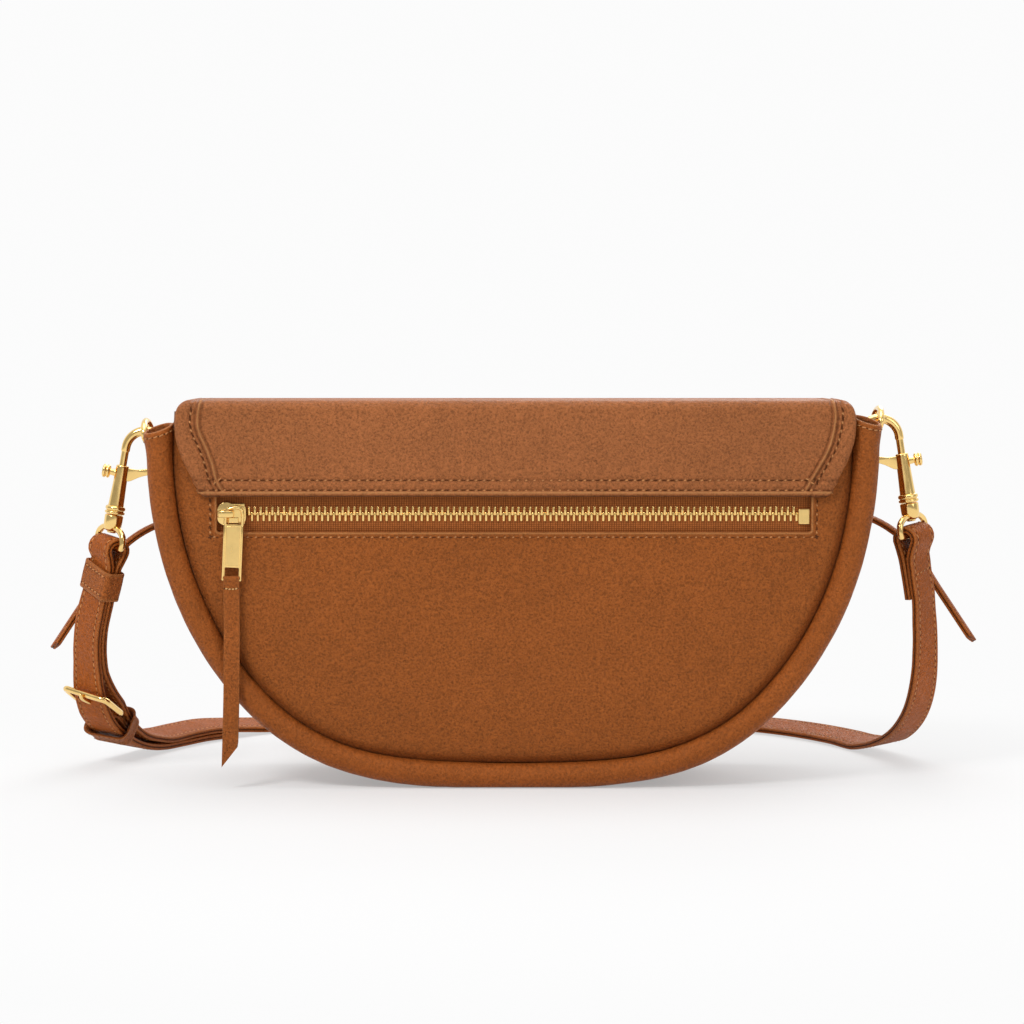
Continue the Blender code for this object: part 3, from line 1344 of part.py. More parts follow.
def make_tail(name, side):
    """A narrow tail from the gusset that droops outwards to a slanted tip."""
    height = TAIL_START_LEFT if side < 0 else TAIL_START_RIGHT
    start = seam_x(height, GUSSET_INNER + GUSSET_THICK) + GAP
    across = Vector((side * 0.30, 0.95, 0)).normalized()
    stations = []
    for x, z in TAIL_ROUTE_SHARES:
        stations.append((Vector((side * (start + x * TAIL_REACH), TAIL_DEPTH, height - z * TAIL_DROP)), across))
    ribbon(name, smooth_stations(stations), TAIL_WIDTH, TAIL_THICK, LEATHER_LOOK, TAIL_SLANT)


def stand_on_origin():
    """Everything is measured from the middle of the back roll's flat foot, on the ground."""
    for item in list(PARTS.objects) + list(CUTTERS.objects):
        item.location.y += ROLL_DEPTH


def main():
    make_panels()
    make_gusset()
    make_roll("back_roll", -ROLL_DEPTH)
    make_roll("front_roll", ROLL_DEPTH)
    make_lining()
    make_zip_pocket()
    make_flap()
    make_snap()
    make_tapes()
    make_teeth("zip_teeth_upper", 1, 0.0)
    make_teeth("zip_teeth_lower", -1, TOOTH_PITCH / 2)
    make_stops()
    make_slider()
    make_puller()
    make_pull_tab()
    make_side_hardware()
    make_strap()
    make_buckle()
    make_prong()
    make_chape()
    make_keepers()
    make_tail("side_tail_left", -1)
    make_tail("side_tail_right", 1)
    stand_on_origin()


main()
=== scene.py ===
"""Looks of the half moon bag: soft leather, stitching, woven tape and polished metal.

+Z up, the zip side faces -Y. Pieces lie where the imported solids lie, apart from the zip group, which the
shifts below set up to 2 mm away. Lengths are in metres unless a heading or a docstring says millimetres.
"""
import math

import bmesh
import bpy
import numpy as np
from mathutils import Matrix, Vector, noise


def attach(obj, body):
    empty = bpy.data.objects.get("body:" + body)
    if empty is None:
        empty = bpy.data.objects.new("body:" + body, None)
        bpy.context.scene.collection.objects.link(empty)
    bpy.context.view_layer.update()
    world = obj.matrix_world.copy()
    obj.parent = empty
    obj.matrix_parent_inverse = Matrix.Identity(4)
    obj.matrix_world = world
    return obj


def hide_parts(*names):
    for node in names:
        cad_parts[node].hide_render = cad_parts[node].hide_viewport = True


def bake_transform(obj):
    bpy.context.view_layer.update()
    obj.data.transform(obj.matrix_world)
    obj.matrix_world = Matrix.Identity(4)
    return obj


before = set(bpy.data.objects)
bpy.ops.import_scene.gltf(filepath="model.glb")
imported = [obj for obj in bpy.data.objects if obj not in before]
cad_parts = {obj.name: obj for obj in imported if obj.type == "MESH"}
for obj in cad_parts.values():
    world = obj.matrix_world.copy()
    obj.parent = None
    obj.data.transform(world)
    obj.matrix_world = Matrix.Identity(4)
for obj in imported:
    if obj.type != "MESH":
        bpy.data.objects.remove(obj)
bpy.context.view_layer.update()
MM = 0.001
ROLL_DEPTH = 29.5 * MM
ORIGIN = Vector((0, ROLL_DEPTH, 0))
UP, BACKWARDS = Vector((0, 0, 1)), Vector((0, -1, 0))
SIDES = (("left", -1), ("right", 1))


def link(item):
    bpy.context.scene.collection.objects.link(item)
    return item


def add_camera():
    data = bpy.data.cameras.new("view_camera")
    data.lens = 88.85
    data.sensor_width = 36.0
    data.clip_start, data.clip_end = 0.01, 60.0
    item = link(bpy.data.objects.new("view_camera", data))
    item.location = Vector((-0.0003, -1.035, 0.170)) + ORIGIN
    item.rotation_euler = (math.radians(90 - 3.385), 0, 0)
    bpy.context.scene.camera = item


add_camera()


# Materials

class Nodes:
    """Short calls that make and link the nodes of a material or the world."""

    def __init__(self, owner):
        owner.use_nodes = True
        self.owner, self.nodes, self.links = owner, owner.node_tree.nodes, owner.node_tree.links

    def set(self, node, inputs):
        for key, value in inputs.items():
            if isinstance(value, bpy.types.NodeSocket):
                self.links.new(value, node.inputs[key])
            else:
                node.inputs[key].default_value = value

    def add(self, kind, inputs=None, out=0, **settings):
        """A new node with its inputs set or linked; gives the output called out."""
        made = self.nodes.new("ShaderNode" + kind)
        for key, value in settings.items():
            setattr(made, key, value)
        self.set(made, inputs or {})
        return made.outputs[out]

    def place(self, scale=(1, 1, 1), shift=(0, 0, 0)):
        return self.add("Mapping", {"Vector": self.add("TexCoord", out="Object"), "Scale": scale, "Location": shift})

    def noise(self, vector, scale, detail=3.0, roughness=0.55, **more):
        inputs = {"Vector": vector, "Scale": scale, "Detail": detail, "Roughness": roughness}
        return self.add("TexNoise", {**inputs, **more})

    def wave(self, vector, direction, scale, distortion, **more):
        return self.add("TexWave", {"Vector": vector, "Scale": scale, "Distortion": distortion, **more}, "Fac",
                        bands_direction=direction)

    def math(self, operation, first, second, clamp=False):
        return self.add("Math", {0: first, 1: second}, operation=operation, use_clamp=clamp)

    def times(self, first, second, clamp=False):
        return self.math("MULTIPLY", first, second, clamp)

    def span(self, value, low, high, start, end):
        return self.add("MapRange", {"Value": value, "From Min": low, "From Max": high, "To Min": start, "To Max": end})

    def colour(self, factor, first, second, mode="MIX"):
        second = (*second, 1) if isinstance(second, tuple) else second
        return self.add("Mix", {0: factor, 6: first, 7: second}, 2, data_type="RGBA", blend_type=mode)

    def mixed(self, factor, first, second):
        return self.add("MixShader", {0: factor, 1: first, 2: second})

    def bump(self, height, strength, distance, before=None):
        inputs = {"Height": height, "Strength": strength, "Distance": distance}
        return self.add("Bump", inputs if before is None else {**inputs, "Normal": before})

    def ramp(self, source, base, stops):
        """Shares of a base colour at places along a ramp."""
        made = self.nodes.new("ShaderNodeValToRGB")
        for index, (place, share) in enumerate((stops[0], stops[-1], *stops[1:-1])):
            stop = made.color_ramp.elements[index] if index < 2 else made.color_ramp.elements.new(place)
            stop.position = place
            stop.color = (*scaled(base, share), 1)
        self.set(made, {"Fac": source})
        return made.outputs["Color"]

    def seen(self, *names):
        """Whether the ray is one of the named kinds."""
        rays = [self.add("LightPath", out="Is " + name + " Ray") for name in names]
        found = rays[0]
        for ray in rays[1:]:
            found = self.math("MAXIMUM", found, ray)
        return found

    def finish(self, kind, shader):
        self.set(self.nodes.new("ShaderNodeOutput" + kind), {"Surface": shader})


class Look(Nodes):
    def __init__(self, name):
        super().__init__(bpy.data.materials.new(name))

    def done(self, colour, rough, normal, level=None, tint=None, metallic=None):
        """Links the finish to the shader."""
        wanted = {"Base Color": colour, "Roughness": rough, "Normal": normal, "Specular IOR Level": level,
                  "Specular Tint": tint, "Metallic": metallic}
        self.set(self.nodes["Principled BSDF"], {k: v for k, v in wanted.items() if v is not None})
        return self.owner


def scaled(colour, share):
    return tuple(part * share for part in colour)


# Tan for light edges, partly edge paint and partly painted highlight; brown for painted shade.
EDGE_PAINT_AND_HIGHLIGHT_TAN = (0.52, 0.235, 0.085)
PAINTED_SHADE_BROWN = (0.045, 0.014, 0.006)
WHITE = (1, 1, 1)


def leather(name, base, grain=1.0, stretch=(1, 1, 1), shift=(0, 0, 0), gloss=0.47):
    """Pebbled leather: colour that drifts, fine grain, paler edges that are partly tan edge paint and partly painted
    highlight, and painted shade in grooves.
    """
    look = Look(name)
    vector, stretched = look.place(shift=shift), look.place(stretch, shift)
    middle = look.noise(vector, 95.0, 4.0)
    drift = look.math("ADD", look.times(look.noise(vector, 14.0, 2.0), 0.6), look.times(middle, 0.4))
    colour = look.ramp(drift, base, ((0.30, 0.86), (0.5, 1), (0.72, 1.13)))
    pebble = look.add("TexVoronoi", {"Scale": 820.0, "Smoothness": 0.4, "Vector": stretched}, feature="SMOOTH_F1")
    pores = look.times(pebble, 0.9, True)
    wrinkle = look.noise(stretched, 1350.0, 2.0, 0.62, Distortion=0.9)
    fine = look.noise(stretched, 1500.0, 3.0, 0.6)
    crease = look.noise(stretched, 330.0, 4.0, 0.62)
    relief = look.math("ADD", wrinkle, look.times(look.math("SUBTRACT", pores, 0.36), 0.30))
    shade = look.span(relief, 0.34, 0.66, 1.0 - 0.27 * grain, 1.0 + 0.50 * grain)
    colour = look.colour(1.0, colour, shade, "MULTIPLY")
    colour = look.colour(look.times(fine, 0.20), colour, scaled(base, 0.68))
    # The tone attribute paints colour: above zero towards tan (edge paint with a painted highlight), below zero towards
    # brown (painted shade in grooves, creases and hollows).
    tone = look.add("Attribute", out="Fac", attribute_name="tone")
    light = look.times(look.math("MAXIMUM", tone, 0.0, True), look.math("ADD", middle, 0.35), True)
    colour = look.colour(light, colour, EDGE_PAINT_AND_HIGHLIGHT_TAN)
    colour = look.colour(look.math("MAXIMUM", look.times(tone, -1.0), 0.0, True), colour, PAINTED_SHADE_BROWN)
    height = look.math("ADD", look.math("ADD", pores, look.times(fine, 0.35)), look.times(wrinkle, 2.4))
    normal = look.bump(crease, 0.40 * grain, 0.00070, look.bump(height, 0.85 * grain, 0.00034))
    return look.done(colour, look.span(crease, 0.3, 0.7, gloss - 0.06, gloss + 0.12),
                     look.bump(middle, 0.30 * grain, 0.0011, normal), 0.34, (1.0, 0.64, 0.38, 1))


def woven(name, base, across=2100.0, up=2600.0, depth=0.00012):
    """A plain weave: two sets of crossing yarns in the upright plane."""
    look = Look(name)
    vector = look.place()
    yarns = [look.wave(vector, direction, scale / 6.2832, 0.6, Detail=1.0)
             for direction, scale in (("X", across), ("Z", up))]
    fuzz = look.noise(vector, 900.0, 4.0)
    mixed = look.math("ADD", look.times(look.times(*yarns), 0.55), look.times(fuzz, 0.45))
    colour = look.ramp(mixed, base, ((0.20, 0.52), (0.45, 1), (0.70, 1.6)))
    colour = look.colour(look.times(look.noise(vector, 40.0, 2.0), 0.3), colour, scaled(base, 0.8))
    return look.done(colour, look.ramp(fuzz, WHITE, ((0.2, 0.78), (0.8, 0.92))), look.bump(mixed, 0.8, depth), 0.2,
                     (1.0, 0.66, 0.42, 1))


def metal(name, base, low, high, scratch=0.10):
    """Polished plating with faint brushing and small changes of tone and gloss."""
    look = Look(name)
    brushed = look.noise(look.place((1, 1, 0.18)), 2600.0, 3.0)
    drift = look.noise(look.place(), 240.0, 3.0)
    return look.done(look.ramp(drift, base, ((0.3, 0.90), (0.7, 1.04))), look.span(drift, 0.3, 0.7, low, high),
                     look.bump(brushed, scratch, 0.00003), metallic=1.0)


def thread(name, base):
    look = Look(name)
    vector = look.place()
    drift = look.noise(vector, 300.0, 2.0)
    return look.done(look.ramp(drift, base, ((0.25, 0.62), (0.75, 1.15))),
                     look.ramp(drift, WHITE, ((0.2, 0.5), (0.8, 0.68))),
                     look.bump(look.wave(vector, "DIAGONAL", 620.0, 1.0), 0.6, 0.00008))


BODY_LEATHER = leather("body_leather", (0.260, 0.0705, 0.0132))
# The flap's leather is painted lighter and paler than the body's: painted light on the flap's upward-tilted top.
FLAP_LEATHER_PAINTED_LIGHTER = leather("flap_leather", (0.304, 0.101, 0.0332), shift=(0.31, 0.07, 0.13))
ROLL_LEATHER = leather("roll_leather", (0.268, 0.0692, 0.0118), grain=0.8, stretch=(1, 0.45, 0.9),
                       shift=(0.11, 0.4, 0.2))
STRAP_LEATHER = leather("strap_leather", (0.308, 0.0715, 0.0074), grain=0.8, shift=(0.7, 0.2, 0.5), gloss=0.54)
TRIM_LEATHER = leather("trim_leather", (0.272, 0.073, 0.0140), shift=(0.2, 0.9, 0.4), gloss=0.52)
TAPE_CLOTH = woven("tape_cloth", (0.335, 0.100, 0.0255))
LINING_CLOTH = woven("lining_cloth", (0.32, 0.20, 0.11), 1500.0, 1500.0, 0.00020)
CORD_FELT = woven("cord_felt", (0.50, 0.42, 0.33), 900.0, 900.0, 0.00030)
GOLD = metal("gold_plate", (0.97, 0.665, 0.250), 0.13, 0.22)
SATIN_GOLD = metal("satin_gold", (0.98, 0.675, 0.255), 0.26, 0.36, 0.2)
STEEL = metal("spring_wire_steel", (0.56, 0.55, 0.53), 0.22, 0.34)
THREAD = thread("thread_tan", (0.56, 0.235, 0.070))
GOLD_THREAD = thread("thread_gold", (0.72, 0.42, 0.15))
# Dark discs at the needle holes: painted shade of the holes.
HOLE_SHADE = leather("needle_hole", (0.085, 0.025, 0.008), gloss=0.7)


# Curves and outlines

def lengths_of(path):
    lengths = [0.0]
    for a, b in zip(path, path[1:]):
        lengths.append(lengths[-1] + (b - a).length)
    return lengths


def find(lengths, want):
    """The piece of a path that holds a length, and the share of the piece before it."""
    k = 0
    while k < len(lengths) - 2 and lengths[k + 1] < want:
        k += 1
    share = (want - lengths[k]) / max(lengths[k + 1] - lengths[k], 1e-9)
    return k, min(max(share, 0), 1)


def resample(path, count):
    points = [Vector(p) for p in path]
    lengths = lengths_of(points)
    found = [find(lengths, lengths[-1] * i / (count - 1)) for i in range(count)]
    return [points[k].lerp(points[k + 1], share) for k, share in found]


def smooth_path(points, pieces=6, closed=False):
    """Catmull-Rom points through the given ones."""
    pts = [Vector(p) for p in points]
    count = len(pts)
    made = []
    for i in range(count if closed else count - 1):
        p0 = pts[i - 1] if closed or i else pts[0]
        p1, p2 = pts[i], pts[(i + 1) % count]
        p3 = pts[(i + 2) % count] if closed or i + 2 < count else pts[-1]
        for t in (k / pieces for k in range(pieces)):
            made.append(0.5 * ((2 * p1) + (p2 - p0) * t + (2 * p0 - 5 * p1 + 4 * p2 - p3) * t * t
                               + (3 * p1 - p0 - 3 * p2 + p3) * t ** 3))
    return made if closed else made + [pts[-1]]


def cubic(start, leave, end, arrive, t):
    """Between two values, with the given slopes at its ends."""
    return (start * (2 * t ** 3 - 3 * t ** 2 + 1) + leave * (t ** 3 - 2 * t ** 2 + t)
            + end * (3 * t ** 2 - 2 * t ** 3) + arrive * (t ** 3 - t ** 2))


def read_table(points, key):
    """A smooth curve through (key, value) points, flat beyond both ends."""
    pts = sorted(points)
    if key <= pts[0][0]:
        return pts[0][1]
    for i in range(len(pts) - 1):
        (a, fa), (b, fb) = pts[i], pts[i + 1]
        if key <= b and key < pts[-1][0]:
            ma = (fb - pts[i - 1][1]) / (b - pts[i - 1][0]) if i else (fb - fa) / (b - a)
            mb = (pts[i + 2][1] - fa) / (pts[i + 2][0] - a) if i + 2 < len(pts) else (fb - fa) / (b - a)
            return cubic(fa, ma * (b - a), fb, mb * (b - a), (key - a) / (b - a))
    return pts[-1][1]


def rounded(corners, radius, steps=5):
    points = []
    for index, corner in enumerate(corners):
        here = Vector(corner)
        start = here + (Vector(corners[index - 1]) - here).normalized() * radius
        end = here + (Vector(corners[(index + 1) % len(corners)]) - here).normalized() * radius
        for t in (step / steps for step in range(steps + 1)):
            points.append(tuple(start * (1 - t) ** 2 + here * 2 * t * (1 - t) + end * t * t))
    return points


def box(left, right, low, high):
    return [(left, low), (right, low), (right, high), (left, high)]


def gauss(value, width):
    return math.exp(-(value / width) ** 2)


def bezier(shares, steps):
    points = []
    for t in (step / steps for step in range(steps + 1)):
        weights = ((1 - t) ** 3, 3 * t * (1 - t) ** 2, 3 * t * t * (1 - t), t ** 3)
        points.append(tuple(sum(w * s[axis] for w, s in zip(weights, shares)) for axis in (0, 1)))
    return points


def distance(points, x, z):
    """From a place to a line of points."""
    a = points[:-1]
    ab = points[1:] - a
    ap = np.array((x, z)) - a
    t = np.clip((ap * ab).sum(1) / (ab * ab).sum(1), 0, 1)
    return float(np.sqrt((((ap - ab * t[:, None]) ** 2).sum(1)).min()))


def axes(origin, *columns):
    made = Matrix.Identity(4)
    for index, column in enumerate(columns):
        for row, value in enumerate(Vector(column).normalized()):
            made[row][index] = value
    made.translation = Vector(origin)
    return made


def upright(depth):
    """Outlines in x and z, on a plane at this depth in millimetres."""
    return axes((0, depth * MM, 0), (1, 0, 0), UP, BACKWARDS)


# Building meshes

class Build:
    """Collects vertices, faces, tones and material numbers of one piece."""

    def __init__(self):
        self.verts, self.faces, self.tones, self.kinds = [], [], [], []

    def add(self, verts, faces, tones=None, kind=0):
        base = len(self.verts)
        self.verts += [Vector(v) for v in verts]
        self.faces += [tuple(base + k for k in f) for f in faces]
        self.tones += list(tones) if tones else [0.0] * len(verts)
        self.kinds += [kind] * len(faces)

    def grid(self, rows, tones=None, kind=0, wrap=False, close=False, caps=False):
        """Rows of points joined to a surface; wrap closes each row, close joins the last to the first."""
        width, count = len(rows[0]), len(rows)
        faces = []
        for i in range(count if close else count - 1):
            near, far = i * width, (i + 1) % count * width
            for j in range(width if wrap else width - 1):
                k = (j + 1) % width
                faces.append((near + j, near + k, far + k, far + j))
        if caps:
            faces.append(tuple(range(width))[::-1])
            faces.append(tuple((count - 1) * width + k for k in range(width)))
        self.add([v for row in rows for v in row], faces, [t for row in tones for t in row] if tones else None, kind)

    def tube(self, points, radius, segments=18, closed=False, ends=True):
        """A round wire along points, with domed ends."""
        pts = [Vector(p) for p in points]
        radii = list(radius) if isinstance(radius, (list, tuple)) else [radius] * len(pts)
        if ends and not closed:
            first, last = (pts[0], radii[0]), (pts[-1], radii[-1])
            head, tail = (pts[0] - pts[1]).normalized(), (pts[-1] - pts[-2]).normalized()
            for a in map(math.radians, (25, 50, 72, 86)):
                pts.insert(0, first[0] + head * first[1] * math.sin(a) * 0.8)
                radii.insert(0, first[1] * math.cos(a))
                pts.append(last[0] + tail * last[1] * math.sin(a) * 0.8)
                radii.append(last[1] * math.cos(a))
        count = len(pts)
        rows = []
        normal = None
        for i, here in enumerate(pts):
            before = pts[i - 1] if closed or i else pts[0]
            after = pts[(i + 1) % count] if closed or i < count - 1 else pts[-1]
            along = (after - before).normalized()
            normal = normal or along.orthogonal().normalized()
            normal = (normal - along * normal.dot(along)).normalized()
            side = along.cross(normal)
            rows.append([here + (normal * math.cos(a) + side * math.sin(a)) * radii[i]
                         for a in (2 * math.pi * k / segments for k in range(segments))])
        self.grid(rows, wrap=True, close=closed, caps=not closed)

    def turned(self, profile, place, steps=40):
        """A (radius, height) profile in millimetres about the local z axis; closed if it starts off the axis."""
        self.grid([[place @ Vector((r * MM * math.cos(a), r * MM * math.sin(a), z * MM))
                    for a in (2 * math.pi * k / steps for k in range(steps))]
                   for r, z in (profile + [profile[0]] if profile[0][0] else profile)], wrap=True)

    def plate(self, outlines, thickness, place, bevel=0.0, kind=0, resolution=2):
        """A flat outline with holes, thickness about its plane, edges rounded by bevel, all in millimetres."""
        curve = bpy.data.curves.new("outline", "CURVE")
        curve.dimensions = "2D"
        curve.fill_mode = "BOTH"
        curve.extrude = (thickness * MM) / 2 - bevel * MM
        curve.bevel_depth = bevel * MM
        curve.bevel_resolution = resolution
        curve.offset = -bevel * MM
        for outline in outlines:
            spline = curve.splines.new("POLY")
            spline.points.add(len(outline) - 1)
            for point, (u, v) in zip(spline.points, outline):
                point.co = (u * MM, v * MM, 0, 1)
            spline.use_cyclic_u = True
        guide = link(bpy.data.objects.new("outline", curve))
        bpy.context.view_layer.update()
        shape = guide.evaluated_get(bpy.context.evaluated_depsgraph_get()).to_mesh()
        work = bmesh.new()
        work.from_mesh(shape)
        bmesh.ops.remove_doubles(work, verts=work.verts, dist=1e-6)
        work.verts.index_update()
        self.add([place @ v.co for v in work.verts], [tuple(v.index for v in f.verts) for f in work.faces], kind=kind)
        work.free()
        bpy.data.objects.remove(guide)
        bpy.data.curves.remove(curve)

    def stitches(self, path, normals, pitch=2.9, length=2.0, radius=0.27, lift=0.05, skew=9.0, thread_kind=1,
                 holes=True, hole=(0.31, 0.34)):
        """Short plump threads along a path on a surface, with a dark disc of painted shade at each needle hole between
        them (millimetres).
        """
        pts = [Vector(p) for p in path]
        if not isinstance(normals, list):
            normals = [normals] * len(pts)
        lengths = lengths_of(pts)
        count = max(1, round(lengths[-1] / (pitch * MM)))
        step = lengths[-1] / count
        turn = math.tan(math.radians(skew))
        length, radius, lift = length * MM, radius * MM, lift * MM

        def at(want):
            k, share = find(lengths, want)
            normal = Vector(normals[k]).lerp(Vector(normals[k + 1]), share).normalized()
            along = (pts[k + 1] - pts[k]).normalized()
            return pts[k].lerp(pts[k + 1], share), along, normal, normal.cross(along).normalized()

        for i in range(count):
            centre, along, normal, side = at((i + 0.5) * step)
            along = (along + side * turn).normalized()
            side = normal.cross(along).normalized()
            real = length * (0.95 + 0.1 * noise.noise(centre * 900))
            rows = []
            for share, wide, dip in ((-0.52, 0.3, 0.9), (-0.42, 0.8, 0.35), (-0.15, 1.0, 0.0), (0.15, 1.0, 0.0),
                                     (0.42, 0.8, 0.35), (0.52, 0.3, 0.9)):
                middle = centre + along * real * share + normal * (lift - dip * radius)
                rows.append([middle + (side * math.cos(a) + normal * math.sin(a) * 0.8) * radius * wide
                             for a in (math.pi * k / 3 for k in range(6))])
            self.grid(rows, None, thread_kind, wrap=True, caps=True)
        # Dark discs of painted shade at the needle holes.
        for i in range(count + 1 if holes else 0):
            centre, along, normal, side = at(i * step)
            turned = (along + side * turn * 0.4).normalized()
            self.add([centre + normal * (lift + 0.03 * MM) + turned * math.cos(a) * hole[0] * MM
                      + side * math.sin(a) * hole[1] * MM for a in (math.pi * k / 6 for k in range(12))],
                     [tuple(range(12))], None, 2)

    def punched(self, path):
        """A heavy seam: long dark needle slots of painted shade with a short slanted thread over each gap."""
        self.stitches(path, BACKWARDS, 3.3, 1.25, 0.34, 0.0, 32, hole=(1.02, 0.40))

    def orient(self, wanted, index=0):
        """Turns the faces over if the one at this index doesn't face the wanted way."""
        a, b, c = (self.verts[k] for k in self.faces[index][:3])
        if (b - a).cross(c - a).dot(wanted) < 0:
            self.faces = [f[::-1] for f in self.faces]

    def done(self, name, looks, body, nodes=(), slot=None, sharp=38.0, outward=True, thick=0.0, blend=None,
             shift=(0, 0, 0)):
        """Make the object, smooth it, and tie it to its body; a piece given blend is not tied, its transform is only
        baked.
        """
        moved = ORIGIN + Vector(shift) * MM
        mesh = bpy.data.meshes.new(name)
        mesh.from_pydata([tuple(v + moved) for v in self.verts], [], self.faces)
        for look in looks:
            mesh.materials.append(look)
        mesh.polygons.foreach_set("material_index", self.kinds)
        mesh.attributes.new("tone", "FLOAT", "POINT").data.foreach_set("value", self.tones)
        work = bmesh.new()
        work.from_mesh(mesh)
        if outward:
            bmesh.ops.recalc_face_normals(work, faces=work.faces)
        for face in work.faces:
            face.smooth = True
        for edge in work.edges:
            if len(edge.link_faces) == 2 and edge.calc_face_angle(0) > math.radians(sharp):
                edge.smooth = False
        work.to_mesh(mesh)
        work.free()
        item = link(bpy.data.objects.new(name, mesh))
        if thick:
            shell = item.modifiers.new("thickness", "SOLIDIFY")
            shell.thickness = thick * MM
            shell.offset = -1.0
            bpy.context.view_layer.update()
            item.data = bpy.data.meshes.new_from_object(item.evaluated_get(bpy.context.evaluated_depsgraph_get()))
            item.modifiers.clear()
            bpy.data.meshes.remove(mesh)
            item.data.name = name
        if blend:
            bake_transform(item)
        else:
            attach(item, body)
        if nodes:
            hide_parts(*nodes)

    def sewn(self, name, look, body, *nodes, **more):
        """A leather piece with its threads and the painted shade of its needle holes."""
        self.done(name, [look, THREAD, HOLE_SHADE], body, nodes, "leather", **more)

    def plated(self, name, body, *nodes, looks=(GOLD,), sharp=50, **more):
        self.done(name, looks, body, nodes, "gold_metal", sharp, **more)


# The half moon outline

SEAM_HALF_WIDTH, SEAM_TOP, SEAM_BOTTOM = 135.0 * MM, 150.0 * MM, 9.6 * MM
SEAM_SIDE_SHARES = ((1.0, 1.0), (1.0319, 0.6286), (0.8923, 0.3536), (0.7288, 0.194))
SEAM_BASE_SHARES = ((0.7288, 0.194), (0.5433, 0.013), (0.3281, 0.0), (0.0, 0.0))
ROLL_TOP_LEFT, ROLL_TOP_RIGHT = 143.4 * MM, 146.6 * MM
ROLL_OFFSET, ROLL_RADIUS, ROLL_WALL = 4.9 * MM, 5.2 * MM, 1.15 * MM
PANEL_TOP, PANEL_MIN_DEPTH = 150.6 * MM, 28 * MM
TOP, FLAP_HALF = 155.0, 135.3


def half_seam(offset):
    shares = bezier(SEAM_SIDE_SHARES, 44)[:-1] + bezier(SEAM_BASE_SHARES, 44)
    path = [(x * SEAM_HALF_WIDTH, SEAM_BOTTOM + z * (SEAM_TOP - SEAM_BOTTOM)) for x, z in shares]
    moved = []
    for index, (x, z) in enumerate(path):
        before, after = path[max(index - 1, 0)], path[min(index + 1, len(path) - 1)]
        along = Vector((after[0] - before[0], after[1] - before[1])).normalized()
        if index == len(path) - 1:
            along = Vector((-1, 0))
        moved.append((x - along.y * offset, z + along.x * offset))
    return moved


def clip_top(path, top):
    if path[0][1] < top:
        return [(path[0][0], top)] + path
    for (x_before, z_before), (index, (x, z)) in zip(path, enumerate(path[1:], 1)):
        if z < top:
            return [(x_before + (z_before - top) / (z_before - z) * (x - x_before), top)] + path[index:]
    return path


def seam(offset, top_left, top_right=None):
    right = clip_top(half_seam(offset), top_right or top_left)
    return [(-x, z) for x, z in clip_top(half_seam(offset), top_left)] + right[::-1][1:]


def seam_x(height, offset):
    return clip_top(half_seam(offset), height)[0][0]


SEAM_POINTS = np.array(seam(0.0, PANEL_TOP))


# Body of the bag

ZIP_LEFT, ZIP_RIGHT = -117.4 * MM, 118.4 * MM
WINDOW_BOTTOM, WINDOW_TOP = 102.8 * MM, 118.9 * MM
RAY_STEPS = (0.0, 0.5, 1.0, 1.6, 2.3, 3.2, 4.4, 6.0, 8.0, 11.0, 14.0)


def panel_depth(x, z, side):
    """How far out a panel's face stands: crowned, drawn in at the seam, slightly uneven."""
    d = distance(SEAM_POINTS, x, z) / MM
    out = 33.35 - 2.9 * gauss(d, 2.6) - 0.75 * gauss(d, 11.0)
    if z < 96 * MM:
        out += 0.45 * min(1.0, (96 * MM - z) / (30 * MM)) * min(1.0, d / 20)
    out += 0.22 * noise.noise(Vector((x * 22, 3.1 * side, z * 22))) * min(1.0, d / 12)
    return side * out * MM


def fan(path, depth, top):
    """Rows from a seam path inwards and upwards to a line under the top edge."""
    targets = [Vector((p.x * 0.80, top)) for p in path]
    rows = [[p + (to - p).normalized() * min(step * MM, (to - p).length * 0.5) for p, to in zip(path, targets)]
            for step in RAY_STEPS]
    rows += [[p.lerp(to, k / 16) for p, to in zip(rows[-1], targets)] for k in range(1, 17)]
    return [[Vector((q.x, depth(q.x, q.y), q.y)) for q in row] for row in rows]


def on_zip_face(item):
    return item.calc_center_median().y < -PANEL_MIN_DEPTH


